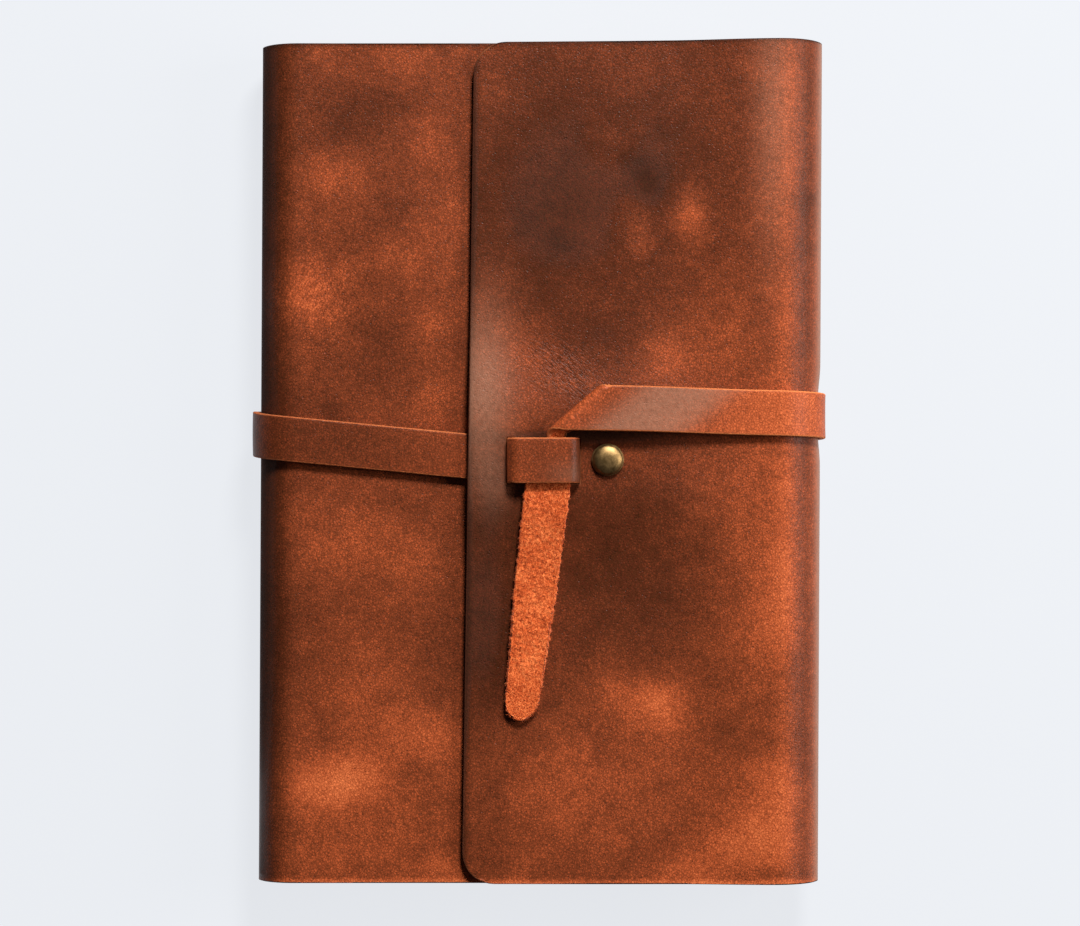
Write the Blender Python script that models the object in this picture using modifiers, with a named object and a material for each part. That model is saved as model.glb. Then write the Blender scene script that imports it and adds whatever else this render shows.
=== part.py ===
"""A leather notebook cover with a flap and a wrap strap, closed round a soft notebook.

Units are metres. X runs from the spine (left) to the fore-edge (right), Y from foot to head and
Z upwards. The cover lies on its back. The origin is under its middle, on the surface it lies on.

One leather sheet makes the front panel, the spine, the back panel, the fore-edge and the flap.
It is divided where it bends, so that each stretch can turn. The strap is divided in the same way.
"""

import math

import bmesh
import bpy
from mathutils import Vector

MM = 0.001

# driving dimensions
LEATHER = 1.8 * MM
STRAP_WIDTH = 11.9 * MM
GAP = 0.3 * MM
COVER_HEIGHT = 221.0 * MM
HALF_WIDTH = 74.3 * MM
BODY_THICKNESS = 20.0 * MM
FLAP_EDGE_HEAD_X = -17.9 * MM
FLAP_EDGE_FOOT_X = -20.0 * MM
FLAP_CORNER = 8.5 * MM
FRONT_EDGE_X = 64.0 * MM
FRONT_CORNER = 6.0 * MM
NOTEBOOK_HEIGHT = 208.0 * MM
NOTEBOOK_SPINE_X = -66.0 * MM
NOTEBOOK_COVER_X = -64.5 * MM
NOTEBOOK_EDGE_X = 61.0 * MM
NOTEBOOK_CORNER = 7.0 * MM
CARD = 0.6 * MM
SLEEVE_LEATHER = 0.8 * MM
SLEEVE_HEIGHT = 214.0 * MM
SLEEVE_WALL = 2.4 * MM
SLEEVE_CORNER = 3.0 * MM
BACK_SLEEVE_EDGE_X = -12.0 * MM
FRONT_SLEEVE_EDGE_X = -20.0 * MM
SECTIONS = 6
ENDPAPER = 0.3 * MM
LEAF_TRIM = 1.0 * MM
LINING = 0.4 * MM
LINING_TRIM = 8.0 * MM
RIVET = (17.7 * MM, 0.8 * MM)
RIVET_CAP_RADIUS = 4.2 * MM
RIVET_POST_RADIUS = 1.5 * MM
RIVET_DOME_HEIGHT = 2.2 * MM
RIVET_RIM_HEIGHT = 0.5 * MM
RIVETED_END = 6.5 * MM
KEEPER_Y = 0.6 * MM
KEEPER_CORNER = 1.1 * MM
KEEPER_LEG_RIGHT_X = 9.5 * MM
KEEPER_LEG_LEFT_X = -7.7 * MM
STRAP_LOOP_CUT_X = -12.7 * MM
STRAP_LOOP_Y = 1.2 * MM
STRAP_SPINE_TOP_Y = 7.4 * MM
STRAP_SPINE_FOOT_Y = 8.6 * MM
STRAP_FORE_FOOT_Y = 12.0 * MM
STRAP_FORE_TOP_Y = 12.3 * MM
STRAP_FLAP_Y = 13.5 * MM
STRAP_RISE = math.radians(0.9)
LIFT_FROM_X = 52.0 * MM
LIFT_TO_X = 20.0 * MM
FOLD_RADIUS = 1.35 * MM
FOLD_ANGLE = math.radians(40.8)
FOLD_POINT = Vector((16.67 * MM, 18.4 * MM))
DRIFT = 4.45 * MM
DRIFT_REACH = 10.7 * MM
DRIFT_SLOPE = 1.7
SQUEEZE_FROM_X = 3.0 * MM
SQUEEZE_ROOM = 5.0 * MM
SQUEEZE_HEAD_Y = 9.5 * MM
SQUEEZE_HEAD_REACH = 2.0 * MM
SQUEEZE_FOOT_Y = 0.5 * MM
SQUEEZE_FOOT_REACH = 5.0 * MM
TAIL_HINGE_Y = -5.75 * MM
TAIL_TIP_X = -4.75 * MM
TAIL_TIP_Y = -67.6 * MM
TAIL_TIP_RADIUS = 4.4 * MM
TAIL_LEAN_DEGREES = 6.75

# heights that follow from them
BACK_Z = LEATHER + GAP
FRONT_Z = BACK_Z + BODY_THICKNESS
STRAP_ON_FRONT_Z = FRONT_Z + GAP + LEATHER / 2
FLAP_UNDER_Z = FRONT_Z + LEATHER + 2 * GAP
FLAP_Z = FLAP_UNDER_Z + LEATHER
STRAP_ON_FLAP_Z = FLAP_Z + GAP + LEATHER / 2
BRIDGE_Z = STRAP_ON_FLAP_Z + LEATHER + GAP
SPINE_RADIUS = BODY_THICKNESS / 2
FORE_RADIUS = (FLAP_Z - BACK_Z) / 2
SPINE_CENTRE = (SPINE_RADIUS - HALF_WIDTH, BACK_Z + SPINE_RADIUS)
FORE_CENTRE = (HALF_WIDTH - FORE_RADIUS, BACK_Z + FORE_RADIUS)
STRAP_OFFSET = GAP + LEATHER / 2
CUT_HALF_GAP = GAP / 2
BEND_STEPS = 8

# finishes: colour, roughness, metallic
HIDE = ((0.30, 0.085, 0.035, 1.0), 0.50, 0.0)
HIDE_DARK = ((0.20, 0.055, 0.026, 1.0), 0.50, 0.0)
STRAP_HIDE = ((0.34, 0.095, 0.040, 1.0), 0.50, 0.0)
SUEDE = ((0.62, 0.17, 0.05, 1.0), 0.90, 0.0)
SLEEVE_HIDE = ((0.42, 0.17, 0.08, 1.0), 0.75, 0.0)
BRASS = ((0.42, 0.34, 0.18, 1.0), 0.35, 1.0)
KRAFT = ((0.45, 0.33, 0.20, 1.0), 0.85, 0.0)
PAPER = ((0.86, 0.82, 0.72, 1.0), 0.90, 0.0)
LINEN = ((0.70, 0.66, 0.58, 1.0), 0.90, 0.0)


def clear_scene():
    """Remove the objects that a new file starts with."""
    for item in list(bpy.data.objects):
        bpy.data.objects.remove(item, do_unlink=True)


def make_collection(name):
    """Add a collection to the scene."""
    group = bpy.data.collections.new(name)
    bpy.context.scene.collection.children.link(group)
    return group


def finish_material(name, finish):
    """Make a material from a (colour, roughness, metallic) finish."""
    colour, roughness, metallic = finish
    material = bpy.data.materials.new(name)
    material.use_nodes = True
    shader = material.node_tree.nodes["Principled BSDF"]
    shader.inputs["Base Color"].default_value = colour
    shader.inputs["Roughness"].default_value = roughness
    shader.inputs["Metallic"].default_value = metallic
    material.diffuse_color = colour
    return material


def add_object(name, data, group, finish=None):
    """Put mesh or curve data in the scene, with a material of its own."""
    item = bpy.data.objects.new(name, data)
    group.objects.link(item)
    if finish:
        data.materials.append(finish_material(name, finish))
    return item


def arc(centre, radius, start, end, steps=BEND_STEPS):
    """Points along an arc, with angles in degrees anticlockwise from the first axis."""
    points = []
    for step in range(steps + 1):
        angle = math.radians(start + (end - start) * step / steps)
        points.append((centre[0] + radius * math.cos(angle), centre[1] + radius * math.sin(angle)))
    return points


def ease(value):
    """Rise smoothly from 0 to 1 as the value goes from 0 to 1."""
    step = min(max(value, 0.0), 1.0)
    return step * step * (3 - 2 * step)


def cut_angle(radius):
    """The angle, in degrees, that half a cut's gap covers at a radius."""
    return math.degrees(CUT_HALF_GAP / radius)


def bent_sheet(name, path, y_start, y_end, width, group, finish):
    """A band of leather whose middle surface follows (x, z) points, drifting along y as it goes."""
    lengths = [0.0]
    for here, there in zip(path, path[1:]):
        lengths.append(lengths[-1] + math.dist(here, there))
    mesh = bpy.data.meshes.new(name)
    cage = bmesh.new()
    chain = []
    for (x, z), length in zip(path, lengths):
        y = y_start + (y_end - y_start) * length / lengths[-1]
        chain.append(cage.verts.new((x, y - width / 2, z)))
    edges = [cage.edges.new(pair) for pair in zip(chain, chain[1:])]
    swept = bmesh.ops.extrude_edge_only(cage, edges=edges)["geom"]
    moved = [part for part in swept if isinstance(part, bmesh.types.BMVert)]
    bmesh.ops.translate(cage, verts=moved, vec=(0, width, 0))
    cage.to_mesh(mesh)
    cage.free()
    item = add_object(name, mesh, group, finish)
    solidify(item, LEATHER)
    return item


def solidify(item, thickness):
    """Give an open surface its thickness, half to each side."""
    wall = item.modifiers.new("thickness", "SOLIDIFY")
    wall.thickness = thickness
    wall.offset = 0
    wall.use_even_offset = True


def outline_points(low, high, corner_left, corner_right, low_shift=0.0):
    """A rectangle from low to high with round corners, as a closed list of (x, y) points.

    low_shift moves the left edge's foot along x, so that the edge leans.
    """
    left, bottom = low
    right, top = high
    lean = low_shift / (top - bottom)
    points = []
    for x, y, radius, start in (
        (right, top, corner_right, 0),
        (left, top, corner_left, 90),
        (left, bottom, corner_left, 180),
        (right, bottom, corner_right, 270),
    ):
        if radius == 0:
            points.append((x, y))
            continue
        inner_x = x - math.copysign(radius, x - (left + right) / 2)
        inner_y = y - math.copysign(radius, y - (bottom + top) / 2)
        points += arc((inner_x, inner_y), radius, start, start + 90)
    middle = (left + right) / 2
    return [(x + (lean * (top - y) if x < middle else 0), y) for x, y in points]


def flat_curve(name, points, z_low, z_high, group, finish=None):
    """A filled outline with a thickness, from z_low to z_high."""
    curve = bpy.data.curves.new(name, "CURVE")
    curve.dimensions = "2D"
    curve.fill_mode = "BOTH"
    curve.extrude = (z_high - z_low) / 2
    spline = curve.splines.new("POLY")
    spline.points.add(len(points) - 1)
    for point, (x, y) in zip(spline.points, points):
        point.co = (x, y, 0, 1)
    spline.use_cyclic_u = True
    item = add_object(name, curve, group, finish)
    item.location.z = (z_low + z_high) / 2
    return item


def as_mesh(item, group):
    """Replace a curve object with the mesh it draws, its caps welded on."""
    bpy.context.view_layer.update()
    name = item.name
    graph = bpy.context.evaluated_depsgraph_get()
    mesh = bpy.data.meshes.new_from_object(item.evaluated_get(graph))
    cage = bmesh.new()
    cage.from_mesh(mesh)
    bmesh.ops.remove_doubles(cage, verts=cage.verts[:], dist=0.00001)
    bmesh.ops.recalc_face_normals(cage, faces=cage.faces[:])
    cage.to_mesh(mesh)
    cage.free()
    place = item.matrix_world.copy()
    bpy.data.objects.remove(item, do_unlink=True)
    mesh.name = name
    made = bpy.data.objects.new(name, mesh)
    made.matrix_world = place
    group.objects.link(made)
    return made


def box(name, low, high, group, finish=None):
    """A box between two corners."""
    mesh = bpy.data.meshes.new(name)
    cage = bmesh.new()
    bmesh.ops.create_cube(cage, size=1.0)
    low, high = Vector(low), Vector(high)
    size = high - low
    bmesh.ops.scale(cage, verts=cage.verts[:], vec=size)
    cage.to_mesh(mesh)
    cage.free()
    item = add_object(name, mesh, group, finish)
    item.location = (low + high) / 2
    return item


def cylinder(name, centre, radius, z_low, z_high, group, finish=None, segments=32):
    """An upright cylinder."""
    mesh = bpy.data.meshes.new(name)
    cage = bmesh.new()
    bmesh.ops.create_cone(
        cage,
        cap_ends=True,
        segments=segments,
        radius1=radius,
        radius2=radius,
        depth=z_high - z_low,
    )
    cage.to_mesh(mesh)
    cage.free()
    item = add_object(name, mesh, group, finish)
    item.location = (centre[0], centre[1], (z_low + z_high) / 2)
    return item


def cut(item, cutter, operation="DIFFERENCE"):
    """Cut an object with another, which is kept out of sight."""
    cutter.hide_render = True
    cutter.display_type = "WIRE"
    knife = item.modifiers.new(cutter.name, "BOOLEAN")
    knife.operation = operation
    knife.object = cutter
    knife.solver = "EXACT"


def turned(name, profile, centre, group, finish, steps=32):
    """A turned piece from its (radius, z) profile, listed from the top down."""
    mesh = bpy.data.meshes.new(name)
    cage = bmesh.new()
    chain = [cage.verts.new((radius, 0, z)) for radius, z in profile]
    for pair in zip(chain, chain[1:]):
        cage.edges.new(pair)
    cage.to_mesh(mesh)
    cage.free()
    item = add_object(name, mesh, group, finish)
    item.location = (centre[0], centre[1], 0)
    spin = item.modifiers.new("turn", "SCREW")
    spin.steps = steps
    spin.render_steps = steps
    spin.use_merge_vertices = True
    spin.merge_threshold = 0.00001
    spin.use_smooth_shade = True
    return item


def spine_arc(offset, start, end):
    """Part of the spine's bend, offset outwards from the leather's outer face."""
    radius = SPINE_RADIUS + offset
    return arc(SPINE_CENTRE, radius, start, end)


def fore_arc(offset, start, end):
    """Part of the fore-edge's bend, offset outwards from the leather's outer face."""
    radius = FORE_RADIUS + offset
    return arc(FORE_CENTRE, radius, start, end)


def make_leather(group, cutters):
    """The leather sheet, divided at 45 degrees into each bend."""
    inset = -LEATHER / 2
    spine_cut = cut_angle(SPINE_RADIUS + inset)
    fore_cut = cut_angle(FORE_RADIUS + inset)

    def sheet(name, path, finish):
        return bent_sheet(name, path, 0.0, 0.0, COVER_HEIGHT, group, finish)

    sheet(
        "leather_back_panel",
        spine_arc(inset, 225 + spine_cut, 270) + fore_arc(inset, -90, -45 - fore_cut),
        HIDE,
    )
    sheet("leather_spine", spine_arc(inset, 135 + spine_cut, 225 - spine_cut), HIDE_DARK)
    sheet("leather_fore_edge", fore_arc(inset, -45 + fore_cut, 45 - fore_cut), HIDE_DARK)

    front = sheet(
        "leather_front_panel",
        [(HALF_WIDTH, FRONT_Z + inset)] + spine_arc(inset, 90, 135 - spine_cut),
        HIDE,
    )
    half = COVER_HEIGHT / 2
    front_outline = outline_points(
        (-FRONT_EDGE_X - half, -half - MM), (FRONT_EDGE_X, half + MM), 0.0, FRONT_CORNER + MM
    )
    shape = flat_curve("front_panel_outline", front_outline, 0.0, FLAP_Z, cutters)
    cut(front, as_mesh(shape, cutters), "INTERSECT")
    dent = cylinder(
        "rivet_dent", RIVET, RIVET_CAP_RADIUS + 2 * GAP, FRONT_Z - 4 * GAP, FLAP_Z, cutters
    )
    cut(front, dent)

    flap = sheet(
        "leather_flap",
        fore_arc(inset, 45 + fore_cut, 90) + [(FLAP_EDGE_FOOT_X - 3 * MM, FLAP_Z + inset)],
        HIDE,
    )
    flap_outline = outline_points(
        (FLAP_EDGE_HEAD_X, -half),
        (HALF_WIDTH + 5 * MM, half),
        FLAP_CORNER,
        0.0,
        FLAP_EDGE_FOOT_X - FLAP_EDGE_HEAD_X,
    )
    shape = flat_curve("flap_outline", flap_outline, 0.0, FLAP_Z + 5 * MM, cutters)
    cut(flap, as_mesh(shape, cutters), "INTERSECT")
    slit_half_x = LEATHER / 2 + GAP
    slit_half_y = STRAP_WIDTH / 2 + GAP
    for name, x in (("slit_right", KEEPER_LEG_RIGHT_X), ("slit_left", KEEPER_LEG_LEFT_X)):
        slit = box(
            name,
            (x - slit_half_x, KEEPER_Y - slit_half_y, FRONT_Z),
            (x + slit_half_x, KEEPER_Y + slit_half_y, FLAP_Z + MM),
            cutters,
        )
        cut(flap, slit)
    hole = cylinder(
        "rivet_hole", RIVET, RIVET_POST_RADIUS + GAP, FRONT_Z, FLAP_Z + MM, cutters
    )
    cut(flap, hole)
    return hole


def make_strap(group, cutters, rivet_hole):
    """The strap: riveted end and keeper, the turn round the cover, the fold and the tail."""
    outer = STRAP_OFFSET
    spine_cut = cut_angle(SPINE_RADIUS + outer)
    fore_cut = cut_angle(FORE_RADIUS + outer)
    low, high = STRAP_ON_FRONT_Z, BRIDGE_Z
    corner = KEEPER_CORNER
    right, left = KEEPER_LEG_RIGHT_X, KEEPER_LEG_LEFT_X

    keeper_path = [
        (RIVET[0] + RIVETED_END, low),
        (right + corner, low),
        (right, low + corner),
        (right, high - corner),
        (right - corner, high),
        (left + corner, high),
        (left, high - corner),
        (left, low + corner),
        (left - corner, low),
        (STRAP_LOOP_CUT_X + CUT_HALF_GAP, low),
    ]
    keeper = bent_sheet(
        "strap_keeper_loop", keeper_path, KEEPER_Y, KEEPER_Y, STRAP_WIDTH, group, STRAP_HIDE
    )
    cut(keeper, rivet_hole)

    def run(name, path, y_start, y_end):
        bent_sheet(name, path, y_start, y_end, STRAP_WIDTH, group, STRAP_HIDE)

    run(
        "strap_front_run",
        [(STRAP_LOOP_CUT_X - CUT_HALF_GAP, low)] + spine_arc(outer, 90, 135 - spine_cut),
        STRAP_LOOP_Y,
        STRAP_SPINE_TOP_Y,
    )
    run(
        "strap_spine_wrap",
        spine_arc(outer, 135 + spine_cut, 225 - spine_cut),
        STRAP_SPINE_TOP_Y,
        STRAP_SPINE_FOOT_Y,
    )
    run(
        "strap_back_run",
        spine_arc(outer, 225 + spine_cut, 270) + fore_arc(outer, -90, -45 - fore_cut),
        STRAP_SPINE_FOOT_Y,
        STRAP_FORE_FOOT_Y,
    )
    run(
        "strap_fore_edge_wrap",
        fore_arc(outer, -45 + fore_cut, 45 - fore_cut),
        STRAP_FORE_FOOT_Y,
        STRAP_FORE_TOP_Y,
    )
    make_free_run(group, fore_cut)
    make_tail(group)


def make_free_run(group, fore_cut):
    """The strap's last run: over the flap, folded under itself, then below the keeper.

    The surface is first laid out flat. Distance d past the fold line is wrapped round a half
    circle, and what lies beyond it runs back underneath as a mirror image. It eases sideways to
    the keeper, and its right side bunches up where it passes between the keeper's legs.
    """
    run = Vector((-math.cos(STRAP_RISE), math.sin(STRAP_RISE)))
    up = Vector((run.y, -run.x))
    along = Vector((math.cos(FOLD_ANGLE), math.sin(FOLD_ANGLE)))
    beyond = Vector((-along.y, along.x))
    arc_length = math.pi * FOLD_RADIUS
    top_z = STRAP_ON_FLAP_Z + 2 * FOLD_RADIUS
    start = Vector((FORE_CENTRE[0], STRAP_FLAP_Y))
    bend_path = fore_arc(STRAP_OFFSET, 45 + fore_cut, 90)

    def under(flat):
        """Where a point of the flat strap lies once it has passed the fold."""
        past = (flat - FOLD_POINT).dot(beyond)
        foot = flat - beyond * past
        share = (past - arc_length) / DRIFT_REACH
        place = foot - beyond * (past - arc_length)
        place.x -= DRIFT * (DRIFT_SLOPE * share - (DRIFT_SLOPE - 1) * share * share)
        below_head = ease((SQUEEZE_HEAD_Y - place.y) / SQUEEZE_HEAD_REACH)
        above_foot = 1 - ease((SQUEEZE_FOOT_Y - place.y) / SQUEEZE_FOOT_REACH)
        wide = max(place.x - SQUEEZE_FROM_X, 0.0)
        narrow = SQUEEZE_ROOM * (1 - math.exp(-wide / SQUEEZE_ROOM))
        place.x -= below_head * above_foot * (wide - narrow)
        return place

    def folded(flat):
        """The fold's surface: over, round the half circle, or underneath."""
        past = (flat - FOLD_POINT).dot(beyond)
        lift = ease((LIFT_FROM_X - flat.x) / (LIFT_FROM_X - LIFT_TO_X))
        height = STRAP_ON_FLAP_Z + (top_z - STRAP_ON_FLAP_Z) * lift
        if past <= 0:
            return flat.x, flat.y, height
        if past < arc_length:
            turn = past / FOLD_RADIUS
            place = flat + beyond * (FOLD_RADIUS * math.sin(turn) - past)
            return place.x, place.y, height - FOLD_RADIUS * (1 - math.cos(turn))
        place = under(flat)
        return place.x, place.y, height - 2 * FOLD_RADIUS

    # the last row lies square to the foot, along the keeper's lower edge
    rows = 96
    columns = 9
    last_y = TAIL_HINGE_Y + CUT_HALF_GAP

    def travel_to(side, target_y):
        """How far along the flat strap a line meets the tail's hinge, found by halving."""
        near, far = 40.0 * MM, 110.0 * MM
        for _ in range(40):
            middle = (near + far) / 2
            if under(start + run * middle + side).y > target_y:
                near = middle
            else:
                far = middle
        return near

    mesh = bpy.data.meshes.new("strap_free_run")
    cage = bmesh.new()
    bmesh.ops.create_grid(cage, x_segments=rows + BEND_STEPS, y_segments=columns, size=1.0)
    for vert in cage.verts:
        station = round((vert.co.x + 1) / 2 * (rows + BEND_STEPS))
        across = vert.co.y * STRAP_WIDTH / 2
        if station <= BEND_STEPS:
            x, z = bend_path[station]
            y = STRAP_FORE_TOP_Y + (STRAP_FLAP_Y - STRAP_FORE_TOP_Y) * station / BEND_STEPS
            vert.co = (x, y + across, z)
        else:
            side = up * across
            travel = travel_to(side, last_y) * (station - BEND_STEPS) / rows
            vert.co = folded(start + run * travel + side)
    cage.to_mesh(mesh)
    cage.free()
    mesh.shade_smooth()
    solidify(add_object("strap_free_run", mesh, group, STRAP_HIDE), LEATHER)


def make_tail(group):
    """The strap's tapered end below the keeper, flesh side up, turning at the keeper's edge."""
    top_y = TAIL_HINGE_Y - CUT_HALF_GAP
    centre = Vector((TAIL_TIP_X, TAIL_TIP_Y + TAIL_TIP_RADIUS))
    tip = arc(centre, TAIL_TIP_RADIUS, 180 - TAIL_LEAN_DEGREES, 360 - TAIL_LEAN_DEGREES, 10)
    top_x = centre.x + (top_y - centre.y) * math.tan(math.radians(TAIL_LEAN_DEGREES))
    half = STRAP_WIDTH / 2
    outline = [(top_x - half, top_y)] + tip + [(top_x + half, top_y)]
    flat_curve(
        "strap_tail",
        outline,
        STRAP_ON_FLAP_Z - LEATHER / 2,
        STRAP_ON_FLAP_Z + LEATHER / 2,
        group,
        SUEDE,
    )


def make_rivet(group):
    """A double-cap rivet: a domed cap with its post, and the back cap that it is set into."""
    dome_low = FLAP_Z + GAP
    crown = RIVET_DOME_HEIGHT - RIVET_RIM_HEIGHT
    post_low = FRONT_Z + GAP
    profile = [(0.0, dome_low + RIVET_DOME_HEIGHT)]
    dome_steps = 6
    for step in range(1, dome_steps + 1):
        angle = math.radians(90 * step / dome_steps)
        radius = RIVET_CAP_RADIUS * math.sin(angle)
        profile.append((radius, dome_low + RIVET_RIM_HEIGHT + crown * math.cos(angle)))
    profile += [
        (RIVET_CAP_RADIUS, dome_low),
        (RIVET_POST_RADIUS, dome_low),
        (RIVET_POST_RADIUS, post_low),
        (0.0, post_low),
    ]
    turned("rivet_cap", profile, RIVET, group, BRASS)
    cylinder(
        "rivet_back_cap", RIVET, RIVET_CAP_RADIUS, FRONT_Z - 3 * GAP, FRONT_Z, group, BRASS
    )


def make_sleeve(name, z_low, z_high, pocket_low, pocket_high, group, cutters):
    """A pocket of thin leather, bonded along three edges and open towards the spine."""
    left, right = BACK_SLEEVE_EDGE_X, NOTEBOOK_EDGE_X + GAP + SLEEVE_WALL
    half = SLEEVE_HEIGHT / 2
    outline = outline_points((left, -half), (right, half), 0.0, SLEEVE_CORNER)
    sleeve = as_mesh(flat_curve(name, outline, z_low, z_high, cutters), group)
    sleeve.data.materials.clear()
    sleeve.data.materials.append(finish_material(name, SLEEVE_HIDE))
    pocket = box(
        name + "_pocket",
        (left - MM, SLEEVE_WALL - half, pocket_low),
        (right - SLEEVE_WALL, half - SLEEVE_WALL, pocket_high),
        cutters,
    )
    cut(sleeve, pocket)


def make_inside(group, cutters):
    """The two sleeves and the soft-cover notebook, stacked from the back panel upwards."""
    half = NOTEBOOK_HEIGHT / 2
    inner_low = BACK_Z + LEATHER + GAP
    inner_high = FRONT_Z - LEATHER - GAP

    def leaf(name, z_low, thickness, finish, left=NOTEBOOK_SPINE_X, trim=0.0):
        low = (left, -half + trim)
        high = (NOTEBOOK_EDGE_X - trim, half - trim)
        outline = outline_points(low, high, 0.0, NOTEBOOK_CORNER)
        flat_curve(name, outline, z_low, z_low + thickness, group, finish)
        return z_low + thickness + GAP

    z = leaf("notebook_back_cover", inner_low, CARD, KRAFT, left=NOTEBOOK_COVER_X)
    make_sleeve("back_sleeve", inner_low, z + SLEEVE_LEATHER, inner_low - MM, z, group, cutters)
    z += SLEEVE_LEATHER + GAP
    block_low = z
    front_card_low = inner_high - SLEEVE_LEATHER - GAP - CARD
    block_high = front_card_low - GAP
    z = leaf("back_endpaper", z, ENDPAPER, PAPER, trim=LEAF_TRIM)
    free_height = block_high - ENDPAPER - GAP - z
    section = free_height / SECTIONS - GAP
    for number in range(1, SECTIONS + 1):
        z = leaf(f"page_section_{number}", z, section, PAPER, trim=LEAF_TRIM)
    leaf("front_endpaper", z, ENDPAPER, PAPER, trim=LEAF_TRIM)
    leaf("notebook_front_cover", front_card_low, CARD, KRAFT, left=NOTEBOOK_COVER_X)

    lining_right = NOTEBOOK_SPINE_X - GAP
    lining_left = lining_right - LINING
    box(
        "page_spine_lining",
        (lining_left, -half + LINING_TRIM, block_low),
        (lining_right, half - LINING_TRIM, block_high),
        group,
        LINEN,
    )
    box(
        "notebook_spine_cover",
        (lining_left - GAP - CARD, -half, inner_low + MM),
        (lining_left - GAP, half, inner_high - MM),
        group,
        KRAFT,
    )
    sleeve_half = SLEEVE_HEIGHT / 2
    outline = outline_points(
        (FRONT_SLEEVE_EDGE_X, -sleeve_half), (NOTEBOOK_EDGE_X, sleeve_half), 0.0, SLEEVE_CORNER
    )
    flat_curve(
        "front_sleeve", outline, inner_high - SLEEVE_LEATHER, inner_high, group, SLEEVE_HIDE
    )


def main():
    """Build every piece."""
    clear_scene()
    parts = make_collection("leather_notebook_cover")
    cutters = make_collection("cutters")
    rivet_hole = make_leather(parts, cutters)
    make_strap(parts, cutters, rivet_hole)
    make_rivet(parts)
    make_inside(parts, cutters)


main()
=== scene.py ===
"""A leather notebook cover: one oiled hide wrapped round a soft notebook and tied with a folded strap.

Lengths in this script are millimetres, and meshes are written in metres. X runs from the spine to the
fore-edge, Y from foot to head and Z upwards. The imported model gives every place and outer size.
"""

import logging
import math
from dataclasses import dataclass, field
from enum import Enum
from typing import Callable

import bpy
import numpy as np
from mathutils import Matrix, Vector


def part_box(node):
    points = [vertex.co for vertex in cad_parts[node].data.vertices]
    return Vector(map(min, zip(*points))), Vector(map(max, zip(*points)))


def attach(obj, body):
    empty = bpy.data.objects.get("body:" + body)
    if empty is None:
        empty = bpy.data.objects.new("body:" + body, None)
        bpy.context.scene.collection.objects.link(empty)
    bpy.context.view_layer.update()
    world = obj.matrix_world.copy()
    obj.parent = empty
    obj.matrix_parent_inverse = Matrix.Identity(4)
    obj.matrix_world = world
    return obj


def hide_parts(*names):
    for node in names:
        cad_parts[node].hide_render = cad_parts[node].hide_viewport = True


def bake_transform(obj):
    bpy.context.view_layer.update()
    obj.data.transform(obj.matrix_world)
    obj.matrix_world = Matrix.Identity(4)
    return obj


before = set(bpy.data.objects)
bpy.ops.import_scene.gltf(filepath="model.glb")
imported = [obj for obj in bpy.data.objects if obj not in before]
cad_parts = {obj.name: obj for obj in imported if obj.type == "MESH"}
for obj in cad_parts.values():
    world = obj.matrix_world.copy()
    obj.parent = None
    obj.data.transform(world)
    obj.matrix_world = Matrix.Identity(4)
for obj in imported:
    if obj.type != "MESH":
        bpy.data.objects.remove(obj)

MM = 0.001
LOG = logging.getLogger("notebook_cover")
KEEPER_LEGS = (9.5, -7.7)
# The strap's flat places lie this far across from the hide's, so that the two differ in grain.
STRAP_PLACE = 500.0

Colour = tuple[float, float, float]


class Side(Enum):
    """The three kinds of surface that a cut piece of leather shows."""

    GRAIN = 0
    FLESH = 1
    EDGE = 2


def corners(node: str) -> tuple[np.ndarray, np.ndarray]:
    """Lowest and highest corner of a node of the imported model, in millimetres."""
    low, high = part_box(node)
    return np.array(low) / MM, np.array(high) / MM


def ease(value: np.ndarray | float) -> np.ndarray:
    """Rise smoothly from 0 to 1 as the value goes from 0 to 1, flat at both ends."""
    step = np.clip(value, 0.0, 1.0)
    return step * step * (3.0 - 2.0 * step)


def unit(vectors: np.ndarray) -> np.ndarray:
    """Scale vectors along the last axis to length one."""
    length = np.linalg.norm(vectors, axis=-1, keepdims=True)
    return vectors / np.maximum(length, 1e-12)


def ticks(low: float, high: float, step: float, exact: tuple[float, ...] = ()) -> np.ndarray:
    """Evenly spaced values from low to high that also hit some exact ones.

    Args:
        low: first value.
        high: last value.
        step: widest spacing allowed.
        exact: values in between that must be met.

    Returns:
        The values, rising.
    """
    stops = [low] + sorted(v for v in exact if low < v < high) + [high]
    runs = [
        np.linspace(a, b, max(1, math.ceil((b - a) / step - 1e-6)), endpoint=False)
        for a, b in zip(stops, stops[1:])
        if b - a > 1e-6
    ]
    return np.append(np.concatenate(runs), high)


def grid_normals(points: np.ndarray) -> np.ndarray:
    """Normals of a grid: the cross product of its differences along rows and along columns."""
    down = np.gradient(points, axis=0)
    across = np.gradient(points, axis=1)
    return unit(np.cross(down, across))


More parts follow.
